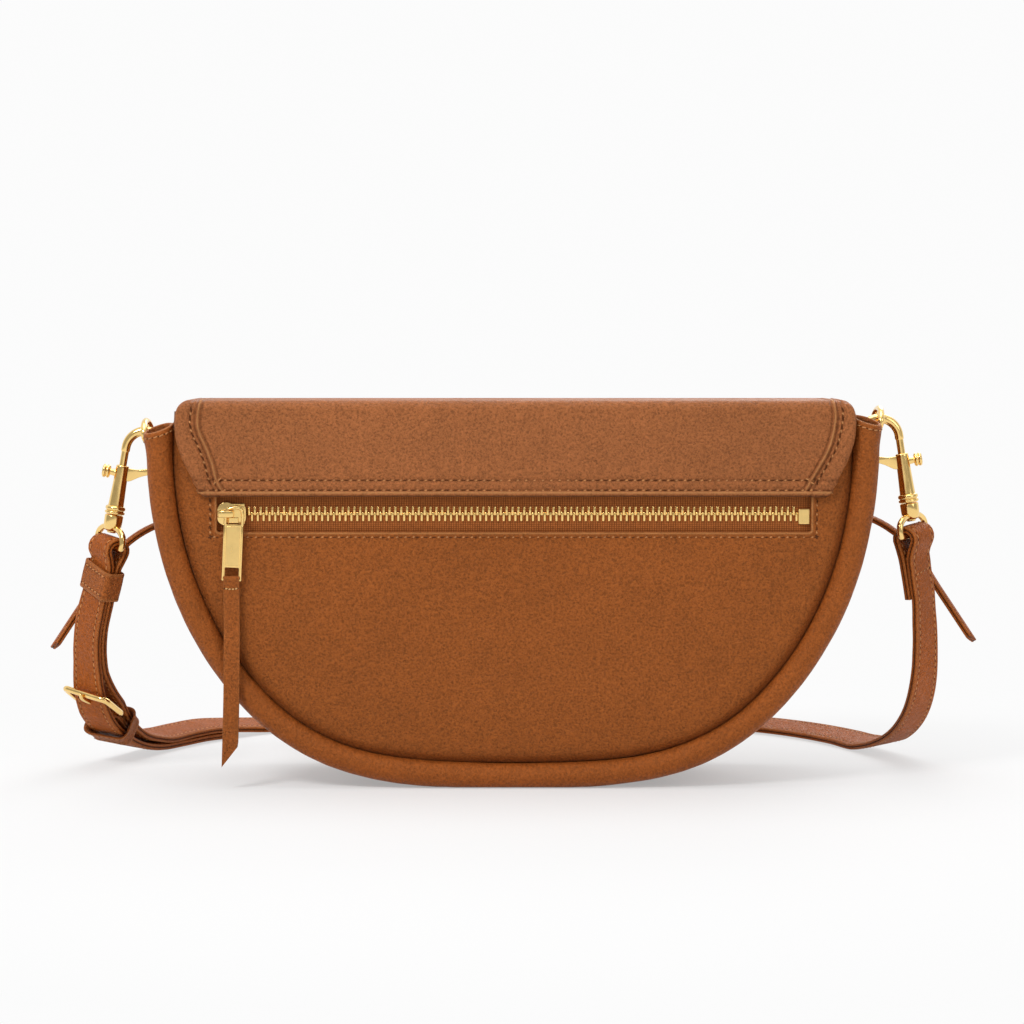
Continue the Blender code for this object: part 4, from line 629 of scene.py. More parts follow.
def body_shell():
    count = 190
    edge = resample(seam(-0.5 * MM, PANEL_TOP), count)
    rows = fan(edge, lambda x, z: panel_depth(x, z, -1), PANEL_TOP)[::-1]
    tuck = [(-0.65, 29.4, 0.0), (-0.4, 27.4, 0.4), (0.6, 25.7, 0.75), (2.2, 24.6, 1.0), (3.4, 23.9, 1.0),
            (3.5, 21.0, 1.0), (3.2, 15.0, 1.0), (2.8, 7.0, 1.0), (2.7, 0.0, 1.0)]
    for offset, y, share in [(o, -y, s) for o, y, s in tuck] + tuck[-2::-1]:
        tops = [PANEL_TOP + (top - 0.8 * MM - PANEL_TOP) * share for top in (ROLL_TOP_LEFT, ROLL_TOP_RIGHT)]
        row = [Vector((p.x, y * MM, p.y)) for p in resample(seam(offset * MM, *tops), count)]
        for place in row:
            place.z += noise.noise(place * 30) * 0.15 * MM
        rows.append(row)
    whole = Build()
    whole.grid(rows + fan(edge, lambda x, z: panel_depth(x, z, 1), PANEL_TOP))
    mesh = bpy.data.meshes.new("cut")
    mesh.from_pydata([tuple(v) for v in whole.verts], [], whole.faces)
    work = bmesh.new()
    work.from_mesh(mesh)
    bpy.data.meshes.remove(mesh)
    for place, normal in (((ZIP_LEFT, 0, 0), (1, 0, 0)), ((ZIP_RIGHT, 0, 0), (1, 0, 0)), ((0, 0, WINDOW_BOTTOM), UP),
                          ((0, 0, WINDOW_TOP), UP)):
        faces = [f for f in work.faces if on_zip_face(f)]
        edges = {e for f in faces for e in f.edges}
        points = {v for f in faces for v in f.verts}
        bmesh.ops.bisect_plane(work, geom=list(points) + list(edges) + faces, plane_co=place, plane_no=normal,
                               dist=1e-6)
    inside = []
    for face in filter(on_zip_face, work.faces):
        c = face.calc_center_median()
        if ZIP_LEFT < c.x < ZIP_RIGHT and WINDOW_BOTTOM < c.z < WINDOW_TOP:
            inside.append(face)
    bmesh.ops.delete(work, geom=inside, context="FACES")
    work.verts.index_update()
    work.normal_update()
    faces = [tuple(v.index for v in f.verts) for f in work.faces]
    if sum(f.normal.y for f in work.faces if on_zip_face(f)) > 0:
        faces = [f[::-1] for f in faces]
    # Painted shade: the panels darken into the seam crease beside the rolls.
    shades = []
    for v in work.verts:
        near = distance(SEAM_POINTS, v.co.x, v.co.z) / MM if abs(v.co.y) > PANEL_MIN_DEPTH else 9.0
        shades.append(-0.75 * gauss(near, 0.9) - 0.16 * gauss(near, 5.0))
    made = Build()
    made.add([v.co.copy() for v in work.verts], faces, shades)
    work.free()
    made.done("body_shell", [BODY_LEATHER], "bag", ("back_panel", "front_panel", "gusset_band"), "leather",
              outward=False, thick=1.3, sharp=60)


def window_welt():
    """The turned edge of the zip window and its stitches."""
    made = Build()
    left, right, low, high = ZIP_LEFT, ZIP_RIGHT, WINDOW_BOTTOM, WINDOW_TOP
    base = rounded(box(left, right, low, high), 0.9 * MM, 4)
    # Profile rows of (inset, depth, tone): the tone paints a highlight on the crest of the turned edge and shade down
    # into the window's recess.
    profile = ((2.2, 33.3, -0.1), (1.6, 33.55, 0.0), (1.0, 33.80, 0.10), (0.5, 33.78, 0.75), (0.1, 33.4, 0.30),
               (-0.05, 32.8, 0.0), (-0.1, 31.9, -0.3), (0.1, 30.9, -0.6))
    rows = []
    for i, (x, z) in enumerate(base):
        along = (Vector(base[(i + 1) % len(base)]) - Vector(base[i - 1])).normalized()
        rows.append([Vector((x + along.y * e * MM, -y * MM, z - along.x * e * MM)) for e, y, _ in profile])
    made.grid(rows, [[t for _, _, t in profile]] * len(base), close=True)
    left, right, foot = left - 2.75 * MM, right + 2.3 * MM, low - 2.0 * MM
    for (x, z), (to_x, to_z), steps in (((left, high), (left, foot), 8), ((left, foot), (right, foot), 80),
                                        ((right, foot), (right, high), 8)):
        places = [(x + (to_x - x) * k / steps, z + (to_z - z) * k / steps) for k in range(steps + 1)]
        made.punched([Vector((x, panel_depth(x, z, -1), z)) for x, z in places])
    made.sewn("window_welt", BODY_LEATHER, "bag", outward=False, sharp=70)


def roll(name, depth, node):
    """A fat leather roll along the seam, hollow, open and hemmed at its flared tops."""
    made = Build()
    count, segments, radius, wall = 300, 30, ROLL_RADIUS, ROLL_WALL
    path = [Vector((p.x, depth, p.y)) for p in resample(seam(ROLL_OFFSET, ROLL_TOP_LEFT, ROLL_TOP_RIGHT), count)]
    lengths = lengths_of(path)

    def ring(i, size, rough=False, lift=0.0):
        along = (path[min(i + 1, count - 1)] - path[max(i - 1, 0)]).normalized()
        out = Vector((along.z, 0, -along.x))
        near = min(lengths[i], lengths[-1] - lengths[i]) / MM
        flare = 1 + 0.13 * gauss(near, 7.0)
        slope = 0.34 * gauss(near, 6.0)
        tilt = math.copysign(0.24, depth) * gauss(near, 6.0)
        row = []
        for a in (2 * math.pi * k / segments for k in range(segments)):
            r = size * flare
            around = out * math.cos(a) + Vector((0, 1, 0)) * math.sin(a)
            spot = path[i] + out * radius * (flare - 1) + around * r
            if rough:
                dent = noise.noise(Vector((spot.x * 150, spot.y * 60, spot.z * 150))) * 0.10 * MM
                spot += around * (dent + noise.noise(spot * 34) * 0.22 * MM)
            spot.z += lift - math.cos(a) * r * slope - math.sin(a) * r * tilt
            spot.z = max(spot.z, 0.25 * MM)
            row.append(spot)
        return row

    deep, inner = 26, radius - wall
    # Tones paint a highlight on the lip of each hemmed mouth and shade on the roll's inner wall.
    mouth = [(radius - wall * share, lift * MM, tone)
             for share, lift, tone in ((1.0, 0.0, -0.2), (0.8, 0.45, 0.15), (0.5, 0.6, 0.5), (0.15, 0.42, 0.3))]
    found = [(ring(i, inner), -0.75) for i in range(deep, 0, -3)]
    found += [(ring(0, size, False, lift), tone) for size, lift, tone in mouth]
    found += [(ring(i, radius, True), 0.0) for i in range(count)]
    found += [(ring(count - 1, size, False, lift), tone) for size, lift, tone in mouth[::-1]]
    found += [(ring(count - 1 - i, inner), -0.75) for i in range(1, deep, 3)]
    made.grid([row for row, _ in found], [[tone] * segments for _, tone in found], wrap=True)
    for index in (1, count - 2):
        row = ring(index, radius, True)
        centre = sum(row, Vector((0, 0, 0))) / segments
        loop = row + [row[0]]
        made.stitches(loop, [(p - centre).normalized() for p in loop], pitch=2.6, length=1.8)
    made.sewn(name, ROLL_LEATHER, "bag", node, sharp=80)


def roll_core(name, depth, node):
    made = Build()
    path = resample(seam(ROLL_OFFSET, ROLL_TOP_LEFT - 5 * MM, ROLL_TOP_RIGHT - 5 * MM), 120)
    made.tube([Vector((p.x, depth, p.y)) for p in path], 3.6 * MM, 16)
    made.done(name, [CORD_FELT], "bag", (node,), "cord")


def lining():
    made = Build()
    count, top = 120, 147.0 * MM
    edge = resample(seam(-1.3 * MM, top), count)

    def sheet(side, far):
        def depth(x, z):
            sag = noise.noise(Vector((x * 26, side * 5, z * 26))) * 0.22
            return side * (far - 0.30 + sag - 0.5 * gauss(distance(SEAM_POINTS, x, z) / MM, 6)) * MM
        return fan(edge, depth, top)

    rows = sheet(-1, 27.5)[::-1]
    for y in (-26.6, -24.0, -16.0, -5.0, 8.0, 20.0, 28.0, 30.2):
        path = resample(seam((-1.25 if y < 30 else -1.4) * MM, top), count)
        rows.append([Vector((p.x, y * MM, p.y)) for p in path])
    made.grid(rows + sheet(1, 30.7))
    made.orient(BACKWARDS)
    for y, side in ((-26.4, 1), (29.6, -1)):
        made.stitches([Vector((x * MM, y * MM, top - 4 * MM)) for x in range(-126, 127, 3)], (0, side, 0))
    made.done("lining_shell", [LINING_CLOTH, THREAD, HOLE_SHADE], "bag", ("lining",), "lining", outward=False, thick=0.6,
              sharp=60)


def zip_pouch():
    """The flat pouch behind the zip, its tall sheet sewn above the zip and its short one below."""
    made = Build()
    half, low, back, front = 114.6, 66.2, -28.25, -29.85
    profile = ((back, WINDOW_TOP / MM + 2.8), (back, 110), (back, 96), (back - 0.25, 82), (back, 70),
               (back - 0.3, low + 0.5), ((back + front) / 2, low), (front + 0.3, low + 0.5), (front, 70),
               (front + 0.25, 84), (front, 94), (front, WINDOW_BOTTOM / MM - 1.7))
    rows = []
    for y, z in profile:
        row = [Vector((half * s / 24, y, z)) * MM for s in range(-24, 25)]
        rows.append([p + Vector((0, noise.noise(p * 60) * 0.1 * MM, 0)) for p in row])
    made.grid(rows)
    made.done("zip_pouch", [LINING_CLOTH], "bag", ("zip_pocket",), "lining", outward=False, thick=0.35, sharp=80)


# Flap, in millimetres

YOKE_EDGE = ((155.0, 134.9), (144.0, 134.9), (138.5, 134.2), (133.0, 132.5), (129.8, 131.2), (126.0, 129.3),
             (122.6, 127.7), (119.0, 125.9), (116.3, 124.3))
TRIM_LEFT = ((155.0, 124.5), (150.0, 125.3), (146.0, 125.6), (141.5, 124.6), (136.6, 122.3), (130.0, 119.9),
             (123.2, 118.2), (119.5, 116.2), (116.3, 114.2))
TRIM_RIGHT = ((155.0, 125.7), (151.0, 126.4), (148.0, 126.5), (142.0, 125.6), (135.6, 123.7), (129.0, 120.2),
              (123.2, 116.9), (119.5, 115.0), (116.3, 113.3))
YOKE_SHIFT, CORNER, EDGE_ROUND = 1.0, 6.3, 1.7
BEND_HEIGHT, BEND_RADIUS = 150.85, 4.2
FLAP_FACE = 38.0
# Rows of (depth, height, tone) under the yoke's bottom edge: the tone paints shade under the edge and in the stitch
# grooves, and a light line on the bead that is partly tan edge paint, partly painted highlight.
YOKE_LOW = ((-33.9, 117.05, -0.8), (-34.6, 116.8, -0.8), (-35.25, 116.9, -0.7), (-35.7, 117.25, -0.55),
            (-35.95, 117.7, -0.15), (-36.15, 118.2, 0.45), (-36.1, 118.65, 0.95), (-35.8, 119.0, 0.25),
            (-35.45, 119.3, -0.3), (-35.45, 119.65, -0.3), (-35.8, 120.3, 0.0), (-36.05, 121.4, 0.0),
            (-35.85, 122.6, 0.0), (-35.45, 123.2, -0.25), (-35.45, 123.6, -0.3), (-35.8, 124.2, 0.0),
            (-36.0, 125.2, 0.0))


def top_level(y):
    return TOP + 0.3 * (1 - (y / 34.0) ** 2)


def quarter_turn():
    return [(math.sin(a), math.cos(a)) for a in (math.radians(90 * step / 7) for step in range(8))]


def yoke_profile():
    rows = list(YOKE_LOW)
    rows += [(-36.0 - 0.65 * math.sin(math.pi * (z - 125.2) / 27), z, 0.0)
             for z in (126.2, 127.5, 129.5, 132, 135, 138, 141, 144, 146.5, 148.5, 150.3)]
    rows += [(-31.9 - BEND_RADIUS * cos, BEND_HEIGHT + BEND_RADIUS * sin, 0.0) for sin, cos in quarter_turn()]
    return rows + [(y, top_level(y), 0.0) for y in (-29.0, -25.0, -18.0, -10.0, -4.0, 2.0)]


def profile_normals(rows):
    normals = []
    for i in range(len(rows)):
        a, b = rows[max(i - 1, 0)], rows[min(i + 1, len(rows) - 1)]
        along = Vector((b[0] - a[0], b[1] - a[1])).normalized()
        normals.append(Vector((-along.y, along.x)))
    return normals


def corner_drop(edge_gap, z):
    """The top sheet bends down at its sides, so the bag's top corners are round."""
    if edge_gap >= CORNER or z <= TOP - CORNER:
        return 0.0
    drop = CORNER - math.sqrt(CORNER ** 2 - (CORNER - edge_gap) ** 2)
    return drop * min(1.0, (z - TOP + CORNER) / CORNER)


def edge_dip(gap):
    if gap >= EDGE_ROUND:
        return 0.0
    return EDGE_ROUND - math.sqrt(max(EDGE_ROUND ** 2 - (EDGE_ROUND - gap) ** 2, 0))


def yoke_edges(z, side):
    """Half widths of the yoke and of its trim seam."""
    return read_table(YOKE_EDGE, z), read_table(TRIM_LEFT if side < 0 else TRIM_RIGHT, z)


def yoke_surface(x, row, normal, side):
    """Point and tone of the flap's back half at x in a profile row."""
    y, z, tone = row
    half, trim = yoke_edges(z, side)
    gap, off = half - abs(x), trim - abs(x)
    firm = min(max((z - 118.6) / 2.6, 0.12), 1.0)
    rise = -edge_dip(gap) + 0.70 * firm * gauss(off, 0.5)
    if off < 0:
        pad = min(max((-off - 3.2) / max(half - trim - 3.2, 0.1), 0.0), 1.0)
        rise -= 0.45 * firm * gauss(-off - 1.35, 0.5) * min(1.0, -off)
        rise -= 0.42 * firm * gauss(-off - 3.0, 0.5)
        rise += 0.85 * firm * math.sin(math.pi * pad) ** 0.8
    elif 119.6 < z < 123.3:
        rise += 0.20 * math.sin(math.pi * x / 3.3) ** 2 * math.sin(math.pi * (z - 119.6) / 3.7)
    if off > 0:
        rise -= 0.35 * firm * gauss(off - 1.1, 0.45)
    rise += 0.10 * noise.noise(Vector((x * 0.03, z * 0.03, y * 0.03)))
    if z > TOP - 1:
        rise = min(rise, 0.25)
    out = Vector((x + YOKE_SHIFT, y + normal.x * rise, z + normal.y * rise - corner_drop(gap, z)))
    # lit is the trim ridge's light line, partly tan edge paint, partly painted highlight; shade is painted shade beside
    # the ridge and in the stitch groove; the outer edge gets a small painted highlight.
    lit = 0.9 * gauss(off, 0.42) if z > 118.9 else 0.0
    shade = -0.45 * gauss(abs(off) - 1.2, 0.4) if z > 119 else 0.0
    if off < 0:
        shade -= 0.30 * gauss(-off - 3.0, 0.35)
    return out * MM, max(min(tone + lit + shade + 0.12 * gauss(gap, 0.9), 1), -1)


EDGE_SHARES = (0.0, 0.015, 0.035, 0.06, 0.09, 0.13, 0.18, 0.24, 0.31, 0.38, 0.45, 0.52, 0.58, 0.625, 0.66, 0.69, 0.715,
               0.74, 0.77, 0.80, 0.825, 0.85, 0.87, 0.89, 0.91, 0.93, 0.95, 0.97, 0.985)
TRIM_STEPS = (0.0, 0.15, 0.32, 0.5, 0.7, 0.95, 1.2, 1.5, 2.0, 2.7, 3.5, 4.3)


def flap_back():
    made = Build()
    profile = yoke_profile()
    rows = []
    for row, normal in zip(profile, profile_normals(profile)):
        found = []
        for side in (-1, 1):
            half, trim = yoke_edges(row[1], side)
            places = [half - (half - trim) * s for s in EDGE_SHARES] + [trim - s for s in TRIM_STEPS]
            places += [places[-1] * (1 - k / 140) for k in range(1, 141)]
            line = [yoke_surface(side * x, row, normal, side) for x in places]
            found += line if side < 0 else line[::-1][1:]
        rows.append(found)
    made.grid([[p for p, _ in row] for row in rows], [[t for _, t in row] for row in rows])
    made.orient(BACKWARDS, len(made.faces) // 4)
    made.done("flap_cover_back", [FLAP_LEATHER_PAINTED_LIGHTER], "bag", ("flap_yoke", "flap_top"), "leather", outward=False,
              thick=1.9, sharp=75, blend=("bag", "flap_top", (0, -35.4, 149.6), (0, -31.5, 155.6)))


def yoke_depth(z):
    rows = yoke_profile()
    for (ya, za, _), (yb, zb, _) in zip(rows, rows[1:]):
        if za <= z <= zb and zb > za:
            return ya + (yb - ya) * (z - za) / (zb - za)


def yoke_stitches():
    made = Build()

    def spot(x, z, lift=0.0):
        half, trim = yoke_edges(z, -1 if x < 0 else 1)
        off = trim - abs(x)
        rise = 0.2 * (1 - gauss(off, 3.0)) if off < 0 else 0.0
        return Vector((x + YOKE_SHIFT, yoke_depth(z) - rise - lift, z - corner_drop(half - abs(x), z))) * MM

    for z, past in ((119.5, 7.2), (123.45, -1.8)):
        left, right = read_table(TRIM_LEFT, z) + past, read_table(TRIM_RIGHT, z) + past
        made.punched([spot(-left + (left + right) * k / 120, z) for k in range(121)])
    for side, trim in ((-1, TRIM_LEFT), (1, TRIM_RIGHT)):
        heights = [151.5 - (151.5 - 122.6) * k / 59 for k in range(60)]
        made.punched([spot(side * (read_table(trim, z) + 3.0), z, -0.28) for z in heights])
        corner = read_table(trim, 122.0)
        made.stitches([spot(side * (corner + 2.2), 121.6), spot(side * (corner - 1.6), 124.6)], BACKWARDS, pitch=2.4,
                      length=1.5, radius=0.26, lift=0.1, holes=False)
    made.sewn("yoke_stitches", FLAP_LEATHER_PAINTED_LIGHTER, "bag")


FRONT_SHARES = ((1.0, 0.0), (1.0, 0.52), (0.60, 1.0), (0.0, 1.0))
FRONT_TOP, FRONT_DROP = 152.7, 104.0


def front_outline(steps):
    """The flap's front half moon, from the left over the foot to the right."""
    half = [(x * FLAP_HALF, FRONT_TOP - z * FRONT_DROP) for x, z in bezier(FRONT_SHARES, steps)]
    return [(-x, z) for x, z in half] + half[::-1][1:]


FRONT_POINTS = np.array(front_outline(60))


def front_face(x, z):
    """How far out the flap's front hangs: padded, with a turned edge and a sewn line."""
    gap = distance(FRONT_POINTS, x, z)
    out = FLAP_FACE + 0.7 * (1 - gauss(gap, 14)) - edge_dip(gap)
    out -= 0.28 * gauss(gap - 3.4, 0.55)
    out += 0.18 * noise.noise(Vector((x * 0.022, 9.0, z * 0.022)))
    return out, gap


def flap_front():
    made = Build()
    columns = [(x, min(z, 149.0)) for x, z in front_outline(46)]
    top_rows = [(y, top_level(y)) for y in (2.0, 8.0, 15.0, 22.0, 28.0, 32.0)]
    top_rows += [(33.8 + BEND_RADIUS * sin, BEND_HEIGHT + BEND_RADIUS * cos) for sin, cos in quarter_turn()]
    rows, tones = [], []
    for y, z in top_rows:
        row = []
        for x, _ in columns:
            gap = FLAP_HALF - abs(x)
            dip = edge_dip(gap)
            level = z - corner_drop(gap, z)
            row.append(Vector((x, y, level - dip) if z > 154 else (x, y - dip, level)) * MM)
        rows.append(row)
        # Painted highlight along the rounded side edges.
        tones.append([0.12 * gauss(FLAP_HALF - abs(x), 0.9) for x, _ in columns])
    steps = (0.0, 0.3, 0.7, 1.2, 1.9, 2.6, 3.4, 4.2, 5.4, 7.5, 10.5, 14.5, 19.5, 26, 34, 43, 53, 64, 76, 88, 102)
    for k in range(len(steps) - 2, -1, -1):
        row, shades = [], []
        for x, low in columns:
            z = low + (min(steps[k], (BEND_HEIGHT - low) * (k + 1) / len(steps)) if k else 0.0)
            out, gap = front_face(x, z)
            plain = FLAP_FACE - edge_dip(gap)
            out = plain + (out - FLAP_FACE + edge_dip(gap)) * min(1.0, (BEND_HEIGHT - z) / 8.0)
            row.append(Vector((x, out, z - corner_drop(FLAP_HALF - abs(x), z))) * MM)
            # Lighter along the turned edge (partly tan edge paint, partly painted highlight) and painted shade in the
            # sewn line.
            shades.append(0.5 * gauss(gap - 0.8, 0.5) - 0.25 * gauss(gap - 3.4, 0.4))
        rows.append(row)
        tones.append(shades)
    made.grid(rows, tones)
    made.orient(UP, len(columns) // 2)
    made.done("flap_cover_front", [FLAP_LEATHER_PAINTED_LIGHTER], "flap_front", ("flap_front",), "leather", outward=False, thick=1.9,
              sharp=75, blend=("flap_top", "flap_front", (0, 33.5, 155.0), (0, 38.2, 150.6)))


def flap_front_stitches():
    made = Build()
    line = []
    full = front_outline(90)
    for i, place in enumerate(full):
        along = (Vector(full[min(i + 1, len(full) - 1)]) - Vector(full[max(i - 1, 0)])).normalized()
        inner = Vector(place) + Vector((-along.y, along.x)) * 3.4
        if inner.y <= 147.5:
            line.append(Vector((inner.x, front_face(*inner)[0], inner.y)) * MM)
    made.stitches(line, -BACKWARDS, radius=0.30)
    made.sewn("flap_front_stitches", FLAP_LEATHER_PAINTED_LIGHTER, "flap_front")


# Zip, in millimetres

COMB, LEVEL = -30.7, 109.0
TOOTH_PITCH = 2.33
ZIP_START, ZIP_END = -119.0, 118.5
TAPE_SHIFT, TEETH_SHIFT, STOP_SHIFT, PULL_SHIFT = (1.7, 0, 1.0), (1.3, 0, 0.9), (0.6, 0, -0.15), (1.7, -0.4, 0.6)


def zip_tape(name, node, low, high):
    made = Build()
    rows = []
    for z in (low + (high - low) * s / 10 for s in range(11)):
        near = min(abs(z - LEVEL) / 1.2, 1.0)
        row = []
        for x in (-122.3 + (121.4 + 122.3) * j / 90 for j in range(91)):
            rise = 0.12 * noise.noise(Vector((x * 0.05, z * 0.3, 1.0)))
            row.append(Vector((x, COMB - 0.28 + rise * near + 0.25 * (1 - near), z)) * MM)
        rows.append(row)
    made.grid(rows)
    made.orient(BACKWARDS, 5)
    made.done(name, [TAPE_CLOTH], "bag", (node,), "zip_tape", outward=False, thick=0.5, sharp=60, shift=TAPE_SHIFT)


def tooth(made, centre, side):
    """One tooth: a rounded bar clamped on the tape, a little narrower where it meets its neighbours."""
    back, front, c = COMB + 0.75, COMB - 0.95, 0.16
    rows = []
    for v, half, taper in ((2.98, 0.34, 0.20), (2.90, 0.43, 0.06), (2.75, 0.46, 0.0), (1.2, 0.46, 0.0),
                           (0.6, 0.46, 0.0), (-0.30, 0.45, 0.0), (-0.55, 0.42, 0.06), (-0.66, 0.34, 0.2)):
        f, b = front + taper, back - taper
        ring = [(-half + c, f), (half - c, f), (half, f + c), (half, b - c), (half - c, b), (-half + c, b),
                (-half, b - c), (-half, f + c)]
        rows.append([Vector((centre + u, y, LEVEL + side * v)) * MM for u, y in ring])
    made.grid(rows, wrap=True, caps=True)


def zip_teeth(name, node, side, shift):
    made = Build()
    start = ZIP_START + 11.4 + 0.9
    count = int((ZIP_END - 5.2 - 0.5 - start) / TOOTH_PITCH)
    for index in range(count):
        tooth(made, start + shift + index * TOOTH_PITCH + 0.45, side)
    ends = (start, 0.0, start + count * TOOTH_PITCH)
    made.tube([Vector((x, COMB - 0.25, LEVEL - side * 0.18)) * MM for x in ends], 0.2 * MM, 8)
    made.plated(name, "bag", node, shift=TEETH_SHIFT)


def zip_stop():
    made = Build()
    left = ZIP_END - 5.2 - 0.3
    made.plate([rounded(box(left, left + 4.6, 105.9, 112.1), 0.5)], 2.3, upright(COMB - 0.35), 0.35)
    made.plated("stop_box", "bag", "zip_bottom_stop", looks=[SATIN_GOLD], sharp=45, shift=STOP_SHIFT)


def slider():
    made = Build()
    shape = [(-119.3, 108.7), (-119.35, 110.7), (-118.6, 112.1), (-117.2, 113.2), (-115.2, 113.75), (-113.4, 113.1),
             (-112.0, 112.45), (-110.2, 112.35), (-108.5, 112.3), (-107.75, 111.2), (-107.7, 109.0), (-107.75, 106.6),
             (-108.5, 105.6), (-110.2, 105.4), (-112.0, 105.3), (-113.4, 104.7), (-115.2, 104.1), (-117.2, 104.6),
             (-118.6, 105.6), (-119.3, 106.9)]
    made.plate([smooth_path(shape, 3, True)], 1.15, upright(-32.4), 0.32)
    bridge = [(-118.6, -32.6), (-117.1, -32.6), (-117.1, -36.2), (-113.9, -36.2), (-113.9, -32.6), (-112.4, -32.6),
              (-112.4, -36.9), (-113.0, -37.5), (-118.0, -37.5), (-118.6, -36.9)]
    made.plate([bridge], 2.7, Matrix.Translation((0, 0, 109.1 * MM)), 0.42, resolution=3)
    made.plate([rounded(box(-115.0, -110.6, 105.2, 107.6), 0.3)], 1.1, upright(-33.2), 0.22)
    made.plate([box(-113.6, -108.2, 112.1, 113.0)], 1.9, upright(-31.95), 0.2)
    made.plate([box(-113.6, -108.2, 105.9, 105.0)[::-1]], 1.9, upright(-31.95), 0.2)
    made.plated("slider_body", "slider", "slider", sharp=40, shift=TAPE_SHIFT)


def puller_frame():
    """The puller's own frame: it hangs from the bridge and leans a little to the left."""
    pivot = Vector((-113.15, -35.15, LEVEL)) * MM
    lean = Matrix.Rotation(math.radians(2.6), 4, Vector((0, 1, 0)))
    return Matrix.Translation(pivot) @ lean @ Matrix.Translation(-pivot)


def puller():
    made = Build()
    place = puller_frame() @ upright(-35.15)
    left, right = -116.1, -108.2
    made.plate([rounded(box(left, right, 82.9, 105.4), 0.5, 3),
                rounded(box(left + 1.15, right - 1.15, 83.7, 88.2), 0.35, 2)], 1.0, place, 0.18)
    made.plate([rounded(box(left + 1.25, right - 1.25, 88.9, 104.6), 0.3, 2)], 1.36, place, 0.22, kind=1)
    for edge in (left + 0.42, right - 0.42):
        made.tube([place @ Vector((edge * MM, z * MM, 0.30 * MM)) for z in (84, 92, 100, 104.9)], 0.42 * MM, 12)
    loop = [(left + 0.6, 104.6), (left + 0.6, 107.2), (left + 0.75, 109.6), (left + 1.6, 111.2), (left + 3.4, 112.0),
            (right - 2.6, 112.1), (right - 1.3, 111.5), (right - 0.65, 110.2), (right - 0.5, 108.0),
            (right - 0.5, 104.6)]
    made.tube([place @ p for p in smooth_path([(x * MM, z * MM, 0) for x, z in loop], 5)], 0.62 * MM, 14)
    made.plated("puller_plate", "puller", "puller", looks=[GOLD, SATIN_GOLD], sharp=45, shift=PULL_SHIFT)


# Strips of leather

def strip_profile(width, thick, layers=2, groove=0.45 * MM, crown=0.08 * MM, sewn=2.2 * MM):
    """Cross-section of a leather strap with tones: soft edges painted lighter (partly tan edge paint, partly painted
    highlight), painted shade in the sewn lines and in the seam between its layers.
    """
    w, t = width / 2, thick / 2
    r = min(t * 0.55, 0.75 * MM)
    quarter = [(0.0, t + crown, 0.0), (w * 0.45, t + crown * 0.8, 0.0)]
    if sewn and w > sewn * 1.4:
        quarter += [(w - sewn - 0.6 * MM, t + crown * 0.5, 0.0), (w - sewn, t - 0.12 * MM, -0.12),
                    (w - sewn + 0.6 * MM, t + crown * 0.2, 0.0)]
    quarter += [(w - r, t, 0.05), (w - r * 0.45, t - r * 0.16, 0.30), (w - r * 0.12, t - r * 0.5, 0.30),
                (w, t - r, -0.10)]
    if layers == 2:
        quarter += [(w - groove * 0.15, t * 0.22, -0.35), (w - groove * 0.6, t * 0.10, -0.75), (w - groove, 0.0, -1.0)]
    else:
        quarter += [(w, 0.0, -0.2)]
    right = quarter + [(u, -v, tone) for u, v, tone in quarter[-2::-1]]
    return right + [(-u, v, tone) for u, v, tone in right[-2:0:-1]]


def frames_of(stations):
    """Place, along, width and outward direction of every station."""
    made = []
    for i, (place, across) in enumerate(stations):
        along = (stations[min(i + 1, len(stations) - 1)][0] - stations[max(i - 1, 0)][0]).normalized()
        across = (across - along * across.dot(along)).normalized()
        made.append((place, along, across, along.cross(across)))
    return made


def strip(made, stations, profile, slant=0.0):
    """Sweep a profile along stations of (place, width direction); slant cuts the last end on a slope."""
    width = max(abs(u) for u, _, _ in profile)
    rows = []
    for i, (place, along, across, outward) in enumerate(frames_of(stations)):
        lean = slant / width / 2 if i == len(stations) - 1 else 0.0
        rows.append([place + across * u + outward * v + along * lean * u for u, v, _ in profile])
    tones = [t for _, _, t in profile]
    # The end caps get painted shade.
    shade = [min(t - 0.25, 0.0) for t in tones]
    caps = []
    for end, before in ((0, 1), (-1, -2)):
        centre = sum(rows[end], Vector((0, 0, 0))) / len(profile)
        out = (stations[end][0] - stations[before][0]).normalized() * 0.25 * MM
        caps.append([p + (centre - p) * 0.06 + out for p in rows[end]])
    made.grid([caps[0], *rows, caps[1]], [shade] + [tones] * len(rows) + [shade], wrap=True, caps=True)


